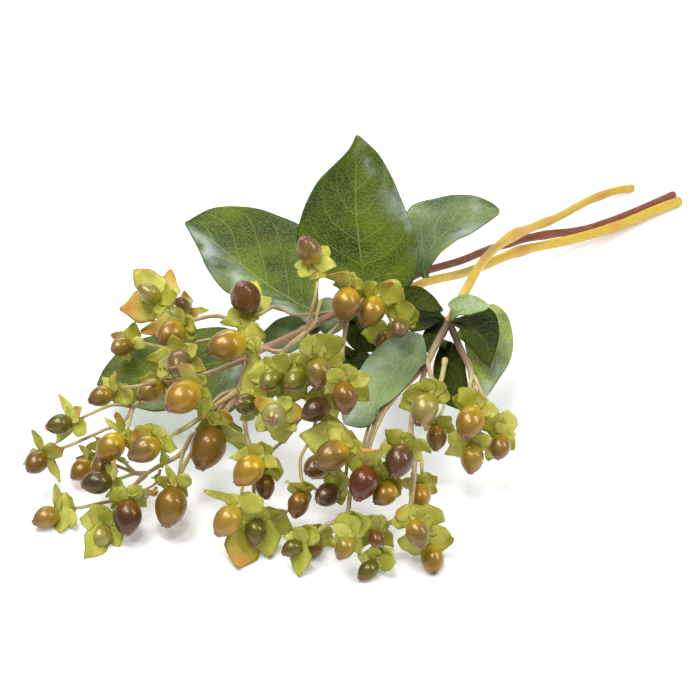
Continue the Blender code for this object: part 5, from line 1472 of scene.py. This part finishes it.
# Where a given sepal's tip lies on its sight line: how far it leans, how deep it may go, and what it draws
# instead where the line runs nearly in the calyx's plane.
LEAN = -0.08
MOST_DEPTH = 0.75
LEAST_SLOPE = 0.12
PLANE_DEPTH = (-0.4, 0.4)
# Where along a sepal its end starts to curl.
CURL_START = 0.6
BERRY_GAP = 0.0004
SURFACE_GAP = 0.0006


def sepal_target(grown, tip, draw):
    """Where a sepal's tip lies: on its own sight line, as near the calyx's plane as it can be."""
    line = sight_line(tip.across, tip.down)
    nearest = SIGHT_POINT + line * (grown.base - SIGHT_POINT).dot(line)
    off = nearest - grown.base
    slope = grown.axis.dot(line)
    if abs(slope) > LEAST_SLOPE:
        deep = (LEAN * off.length - grown.axis.dot(off)) / slope
    else:
        deep = off.length * draw.uniform(*PLANE_DEPTH)
    most = MOST_DEPTH * off.length
    target = nearest + line * min(max(deep, -most), most)
    if target.z < SURFACE_GAP:
        target += line * ((SURFACE_GAP - target.z) / line.z)
    return target


def free_sepals(grown, targets, draw, length):
    """Tips for the sepals that aren't given, in the widest gaps between the others."""
    side = grown.axis.orthogonal().normalized()
    other = grown.axis.cross(side)
    angles = sorted(
        math.atan2((t - grown.base).dot(other), (t - grown.base).dot(side)) % math.tau for t in targets
    )
    if not angles:
        angles = [draw.uniform(0, math.tau)]
    tips = []
    while len(angles) < SEPALS_EACH:
        gaps = [(b - a, a) for a, b in zip(angles, angles[1:] + [angles[0] + math.tau])]
        wide, start = max(gaps)
        angle = (start + wide / 2 + draw.uniform(*FREE_TURN)) % math.tau
        angles = sorted(angles + [angle])
        out = side * math.cos(angle) + other * math.sin(angle)
        reach = length * draw.uniform(*FREE_REACH)
        tips.append(grown.base + (out + grown.axis * draw.uniform(*FREE_LEAN)).normalized() * reach)
    return tips


def sepal_spots(grown, target, shape, turned, draw):
    """A sepal's middle surface as a grid of spots from its base to its tip."""
    outline, width = SEPAL_OUTLINES[shape]
    chord = target - grown.base
    length = chord.length
    out = chord - grown.axis * chord.dot(grown.axis)
    out = out.normalized() if out.length > 1e-5 else grown.axis.orthogonal().normalized()
    side = grown.axis.cross(out).normalized()
    seen_side = chord.cross(target - SIGHT_POINT).normalized()
    if seen_side.dot(side) < 0:
        seen_side.negate()
    side = side.lerp(seen_side, turned)
    side = (side - chord * (side.dot(chord) / chord.length_squared)).normalized()
    facing = chord.cross(side).normalized()
    if facing.dot(grown.axis) > 0:
        facing.negate()
    belly, curl, cup, wave, phase, twist, nick = (draw.uniform(*ends) for ends in SEPAL_TRAITS.values())
    share = np.linspace(0, 1, SEPAL_ROWS)[:, None, None]
    beside = np.linspace(-1, 1, SEPAL_COLUMNS)[None, :, None]
    wide = np.interp(share, np.linspace(0, 1, len(outline)), outline) * length * width * 0.5
    wide = wide * (1 + nick * np.sin(share * 15 + phase))
    base, chord, side, facing = (np.array(v) for v in (grown.base, chord, side, facing))
    curled = np.maximum(0, (share - CURL_START) / (1 - CURL_START)) ** 2
    rise = (belly * np.sin(np.pi * share) - curl * curled) * length
    row_side = side * np.cos(twist * share) + facing * np.sin(twist * share)
    row_facing = facing * np.cos(twist * share) - side * np.sin(twist * share)
    ripple = wave * length * beside * np.abs(beside) * np.sin(share * 9 + phase + beside)
    dish = cup * wide * beside ** 2
    return base + chord * share + facing * rise + row_side * (wide * beside) + row_facing * (ripple - dish)


def push_clear(spots, own, others, over):
    """Moves a blade's spots out of its own berry and its neighbours', and above the surface.

    Where a blade isn't to lie over its own berry on the sight point's side, it passes behind it instead.
    """
    flat = spots.reshape(-1, 3)
    for grown in (own, *others):
        axis = np.array(grown.axis)
        off = flat - np.array(grown.base)
        along = off @ axis
        share = along / grown.length
        radial = off - along[:, None] * axis
        distance = np.linalg.norm(radial, axis=1)
        full = np.interp(share, [p for p, _ in BERRY_FULLNESS], [f for _, f in BERRY_FULLNESS])
        reach = grown.width * np.sqrt(np.clip(share * (1 - share), 0, None)) * full + BERRY_GAP
        inside = (share > 0.0) & (share < 1.0) & (distance < reach)
        if grown is own:
            rows = np.repeat(np.arange(spots.shape[0]), spots.shape[1])
            outward = radial.reshape(spots.shape).mean(axis=1)
            outward /= np.maximum(np.linalg.norm(outward, axis=1, keepdims=True), TINY)
            outward = outward[rows]
            if not over:
                inside &= outward @ np.array(INWARD) > -SHOWN_SIDE
        else:
            outward = radial / np.maximum(distance, TINY)[:, None]
        flat_way = (radial * outward).sum(axis=1)
        square = np.maximum(reach ** 2 - (distance ** 2 - flat_way ** 2), 0)
        push = np.maximum(np.sqrt(square) - flat_way, 0)
        flat = flat + outward * np.where(inside, push, 0)[:, None]
    flat[:, 2] = np.maximum(flat[:, 2], SURFACE_GAP)
    return flat.reshape(spots.shape)


# How near another berry's calyx has to be for sepals to keep clear of it.
NEAR_BERRY = 0.030
# From here on a spot counts as lying on the sight point's side of its berry.
SHOWN_SIDE = 0.35
# How far the sepals that are given turn their faces to the sight point.
FACED = 0.65


class BERRYSTEM_OT_sepals(Operator):
    """Make the sepals round every berry's calyx"""

    bl_idname = "berrystem.sepals"
    bl_label = "Sepals"
    SEED = 23

    def execute(self, context):
        looks = context.scene.sepal_looks
        material = sepal_finish()
        draw = random.Random(self.SEED)
        everyone = [fruit for _, _, fruits in grown_cymes() for fruit in fruits]
        along = np.linspace(0, 1, SEPAL_ROWS)
        across = np.linspace(0, 1, SEPAL_COLUMNS)
        for name, _, fruits in grown_cymes():
            blades = BladeMesh()
            for fruit in fruits:
                near = [f for f in everyone if f is not fruit and (f.base - fruit.base).length < NEAR_BERRY]
                sepals = [
                    (sepal_target(fruit, tip, draw), tip.shape, tip.tint, FACED) for tip in fruit.sepals
                ]
                given = [target for target, *_ in sepals]
                for target in free_sepals(fruit, given, draw, looks.length * fruit.width):
                    sepals.append((target, draw.choice(FREE_SHAPES), draw.choice(FREE_TINTS), 0.0))
                for target, shape, tint, turned in sepals:
                    spots = sepal_spots(fruit, target, shape, turned, draw)
                    spots = push_clear(spots, fruit, near, turned == 0 or shape == "over")
                    amount, colour, dryness = SEPAL_TINTS[tint]
                    blades.add(spots, looks.thickness / 2, across, along, tone=draw.random(), blush=amount,
                               blush_colour=(*colour, 1.0), dryness=dryness * draw.uniform(0.4, 1.0))
            seat(blades.finish(name + "_sepals", material), "leaf_light", name)
        return {"FINISHED"}


# Small blades that have no solid of their own, with the node that each is made with.
SIDE_BLADES = [
    (Leaf("bract_low", "leaf_back", "low_fork", 47, 0, 0.1, 0.5, (363, 453), (371, 468), [(359, 458),
     (361, 464), (366, 467)], [(365, 457), (367, 461), (369, 465)], [(371, 452), (374, 457), (374, 463)]),
     "fruits_low_middle"),
    (Leaf("leaf_small_left_lobe", "leaf_back", "red_low", 45.5, 0.05, 0.1, 0.5, (312, 322), (345, 326),
     [(322, 332), (334, 334)], [(324, 319), (336, 320)], [(316, 303), (330, 298), (342, 308)]),
     "leaf_small_left"),
    (Leaf("leaf_gap_behind", "leaf_dark", "right_front_bend", 46, 0, 0.1, 0.5, (449, 320), (424, 352),
     [(436, 321), (425, 330), (421, 343)], [(443, 328), (436, 336), (430, 345)], [(448, 330), (443, 340),
     (436, 350)]), "leaf_gap_lower"),
]
# Where a whitish painted sheen stands in for the leaves' reflections: across and along the blade, how wide
# each way, and how much.
PAINTED_SHEENS = {
    "leaf_back_left": ((0.27, 0.84, 0.20, 0.12, 1.0), (0.30, 0.62, 0.12, 0.07, 0.8),
                       (0.02, 0.25, 0.22, 0.22, 0.8), (0.10, 0.08, 0.3, 0.08, 0.8)),
    "leaf_centre": ((0.50, 1.0, 0.50, 0.09, 1.0), (0.95, 0.60, 0.14, 0.16, 0.8),
                    (0.72, 0.80, 0.08, 0.07, 0.5)),
    "leaf_back_right": ((0.85, 0.62, 0.16, 0.16, 0.6), (0.30, 0.80, 0.2, 0.12, 0.5)),
    "leaf_lower_left": ((0.45, 0.16, 0.22, 0.08, 0.8),),
    "leaf_right_centre": ((0.50, 0.96, 0.50, 0.22, 0.9), (0.1, 0.5, 0.2, 0.3, 0.3)),
    "leaf_right_outer": ((0.45, 0.92, 0.60, 0.24, 0.9),),
    "leaf_over_stem": ((0.45, 0.50, 0.30, 0.30, 0.6),),
}
# How much of the upper side's colour shows, where it isn't all or none.
HALF_TURNED = {"leaf_back_right": 0.55}
# Rows and columns of a leaf's mesh, and of one shorter than this.
LEAF_GRID = (57, 31)
SMALL_GRID = (28, 16)
SMALL_LEAF = 0.040
# How the rows crowd towards the tip and the columns towards the rib.
ROW_CROWDING = 0.9
COLUMN_CROWDING = 1.25
RIB_RADIUS = 0.0011
# How far a blade swells between its veins and waves at its edge, beside its length, and what is drawn for
# the wave: how often it turns and where it starts.
QUILT = 0.007
EDGE_WAVE = 0.016
WAVE_TURNS = (11, 15)
WAVE_START = (0, 6)
OTHER_EDGE = 1.3


def leaf_spots(rows, draw):
    """A leaf's fine middle surface, where it is thicker, and its columns' and rows' places."""
    size = (rows[-1][2] - rows[1][2]).length
    row_count, column_count = SMALL_GRID if size < SMALL_LEAF else LEAF_GRID
    coarse = [np.array(row) for row in rows]
    along = np.linspace(0, 1, row_count) ** ROW_CROWDING
    ways = np.linspace(-1, 1, column_count)
    across = np.sign(ways) * np.abs(ways) ** COLUMN_CROWDING
    spots = np.zeros((row_count, column_count, 3))
    for i, share in enumerate(along):
        row = curve_through(coarse, share)
        for j, beside in enumerate(across):
            spots[i, j] = curve_through(row[2:] if beside > 0 else row[2::-1], abs(beside))
    share, beside = np.meshgrid(along, np.abs(across), indexing="ij")
    steps = (share - beside ** VEIN_BEND * VEIN_RISE) * VEIN_COUNT
    body = np.clip(np.sin(np.pi * np.clip(share, 0, 1)), 0, 1) ** 0.5 * size
    quilt = np.sin(np.pi * steps) ** 2 * (1 - beside ** 3) * body * QUILT
    angle = share * draw.uniform(*WAVE_TURNS) + draw.uniform(*WAVE_START) + np.sign(across) * OTHER_EDGE
    wave = np.sin(angle) * beside ** 3 * body * EDGE_WAVE
    spots = spots + facing_of(spots) * (quilt + wave)[:, :, None]
    half_width = np.linalg.norm(spots[:, -1] - spots[:, 0], axis=1)[:, None] * 0.5
    rib = np.exp(-(beside * half_width / (RIB_RADIUS * (1.15 - share))) ** 2)
    rib *= RIB_RADIUS * (1.05 - share) * 0.6
    return spots, rib, (across + 1) / 2, along


class BERRYSTEM_OT_leaves(Operator):
    """Make the leaves"""

    bl_idname = "berrystem.leaves"
    bl_label = "Leaves"
    SEED = 5

    def execute(self, context):
        looks = context.scene.leaf_looks
        finishes = leaf_finishes()
        draw = random.Random(self.SEED)
        for leaf, node in [(leaf, leaf.name) for leaf in LEAVES] + SIDE_BLADES:
            spots, rib, across, along = leaf_spots(leaf_surface(leaf), draw)
            halfway = spots[len(spots) // 2]
            facing = np.cross(spots[-1, 0] - spots[0, 0], halfway[-1] - halfway[0])
            seen_first = float(facing @ (np.array(SIGHT_POINT) - halfway[len(halfway) // 2])) > 0
            first_is_top = seen_first == (leaf.finish != "leaf_back")
            topside = np.repeat([float(first_is_top), float(not first_is_top)], rib.size)
            topside = np.maximum(topside, HALF_TURNED.get(leaf.name, 0))
            # Painted sheen patches, put only on the side of the blade that faces the sight point.
            painted_shine = np.zeros(rib.shape)
            for u, v, wide, deep, amount in PAINTED_SHEENS.get(leaf.name, ()):
                off = ((across[None, :] - u) / wide) ** 2 + ((along[:, None] - v) / deep) ** 2
                painted_shine = np.maximum(painted_shine, amount * np.exp(-off))
            sheen = np.concatenate([painted_shine.ravel() * seen_first, painted_shine.ravel() * (not seen_first)])
            blades = BladeMesh()
            blades.add(spots, (rib + looks.thickness / 2)[:, :, None], across, along, topside=topside,
                       sheen=sheen)
            obj = blades.finish(leaf.name + "_blade", finishes.get(leaf.name) or finishes[leaf.finish])
            seat(obj, leaf.finish, node)
        return {"FINISHED"}


FLOOR_HALF = 5.0
FLOOR_DROP = 0.0001
# Each light: how far it is across, inward and up from the bunch's middle, its width and depth, its share
# of the main light's power and its colour.
LIGHTS = {
    "light_main": (-0.45, -0.15, 1.1, 0.62, 0.42, 0.75, (1.0, 0.99, 0.98)),
    "light_side": (0.9, -0.35, 0.8, 0.12, 0.8, 0.5, (0.97, 0.98, 1.0)),
    "light_spark": (-0.1, -0.55, 1.0, 0.2, 0.2, 0.28, (1.0, 1.0, 1.0)),
    "light_back": (-0.2, 1.0, 0.8, 1.0, 0.4, 0.5, (0.95, 0.97, 1.0)),
}


def area_light(name, offset, width, depth, power, colour):
    """A soft rectangular light that points at the middle of the bunch."""
    lamp = bpy.data.lights.new(name, "AREA")
    lamp.shape = "RECTANGLE"
    lamp.size = width
    lamp.size_y = depth
    lamp.energy = power
    lamp.color = colour
    obj = into_scene(name, lamp)
    obj.location = (CAD_BOUNDS[0] + CAD_BOUNDS[1]) / 2 + offset
    obj.rotation_euler = (-offset).to_track_quat("-Z", "Y").to_euler()


class BERRYSTEM_OT_stage(Operator):
    """Make the floor, the lights and the camera"""

    bl_idname = "berrystem.stage"
    bl_label = "Stage"

    def execute(self, context):
        looks = context.scene.stage_looks
        mesh = bpy.data.meshes.new("floor")
        signs = ((-1, -1), (1, -1), (1, 1), (-1, 1))
        corners = [(x * FLOOR_HALF, y * FLOOR_HALF, -FLOOR_DROP) for x, y in signs]
        mesh.from_pydata(corners, [], [(0, 1, 2, 3)])
        mesh.materials.append(floor_finish())
        into_scene("floor", mesh)

        world = bpy.data.worlds.new("surround")
        world.use_nodes = True
        world.node_tree.nodes["Background"].inputs["Color"].default_value = (1.0, 1.0, 1.0, 1.0)
        world.node_tree.nodes["Background"].inputs["Strength"].default_value = looks.surround
        context.scene.world = world
        flat_inward = Vector((INWARD.x, INWARD.y, 0)).normalized()
        for name, (across, inward, up, width, depth, share, colour) in LIGHTS.items():
            offset = ACROSS * across + flat_inward * inward + Vector((0, 0, up))
            area_light(name, offset, width, depth, looks.main_light * share, colour)

        lens = bpy.data.cameras.new("camera")
        lens.sensor_width = SENSOR_WIDTH
        lens.lens = SENSOR_WIDTH * VIEW_FOCAL / VIEW_STEPS
        lens.clip_end = FURTHEST_SEEN
        camera = into_scene("camera", lens)
        turn = Matrix((ACROSS, UPWARD, -INWARD)).transposed().to_4x4()
        camera.matrix_world = Matrix.Translation(SIGHT_POINT) @ turn
        context.scene.camera = camera
        context.scene.view_settings.view_transform = "Standard"
        return {"FINISHED"}


STEPS = (
    BERRYSTEM_OT_stage,
    BERRYSTEM_OT_stems,
    BERRYSTEM_OT_branches,
    BERRYSTEM_OT_leaves,
    BERRYSTEM_OT_twigs,
    BERRYSTEM_OT_berries,
    BERRYSTEM_OT_sepals,
)
GROUPS = {
    "berry_looks": BerryLooks,
    "sepal_looks": SepalLooks,
    "leaf_looks": LeafLooks,
    "stem_looks": StemLooks,
    "stage_looks": StageLooks,
}


class BERRYSTEM_PT_panel(Panel):
    """The berry stem's steps and settings"""

    bl_idname = "BERRYSTEM_PT_panel"
    bl_label = "Berry Stem"
    bl_space_type = "VIEW_3D"
    bl_region_type = "UI"
    bl_category = "Berry Stem"

    def draw(self, context):
        layout = self.layout
        for step in STEPS:
            layout.operator(step.bl_idname)
        for name, group in GROUPS.items():
            box = layout.box()
            box.label(text=name.replace("_", " ").capitalize())
            for prop in group.__annotations__:
                box.prop(getattr(context.scene, name), prop)


def register():
    """Makes the settings, operators and panel known to Blender."""
    for name, group in GROUPS.items():
        bpy.utils.register_class(group)
        setattr(bpy.types.Scene, name, PointerProperty(type=group))
    for step in STEPS:
        bpy.utils.register_class(step)
    bpy.utils.register_class(BERRYSTEM_PT_panel)


def unregister():
    """Takes them out again."""
    bpy.utils.unregister_class(BERRYSTEM_PT_panel)
    for step in reversed(STEPS):
        bpy.utils.unregister_class(step)
    for name, group in GROUPS.items():
        delattr(bpy.types.Scene, name)
        bpy.utils.unregister_class(group)


def main():
    """Makes every piece."""
    register()
    for step in STEPS:
        category, action = step.bl_idname.split(".")
        getattr(getattr(bpy.ops, category), action)()
    bpy.context.view_layer.update()


if __name__ == "__main__":
    main()
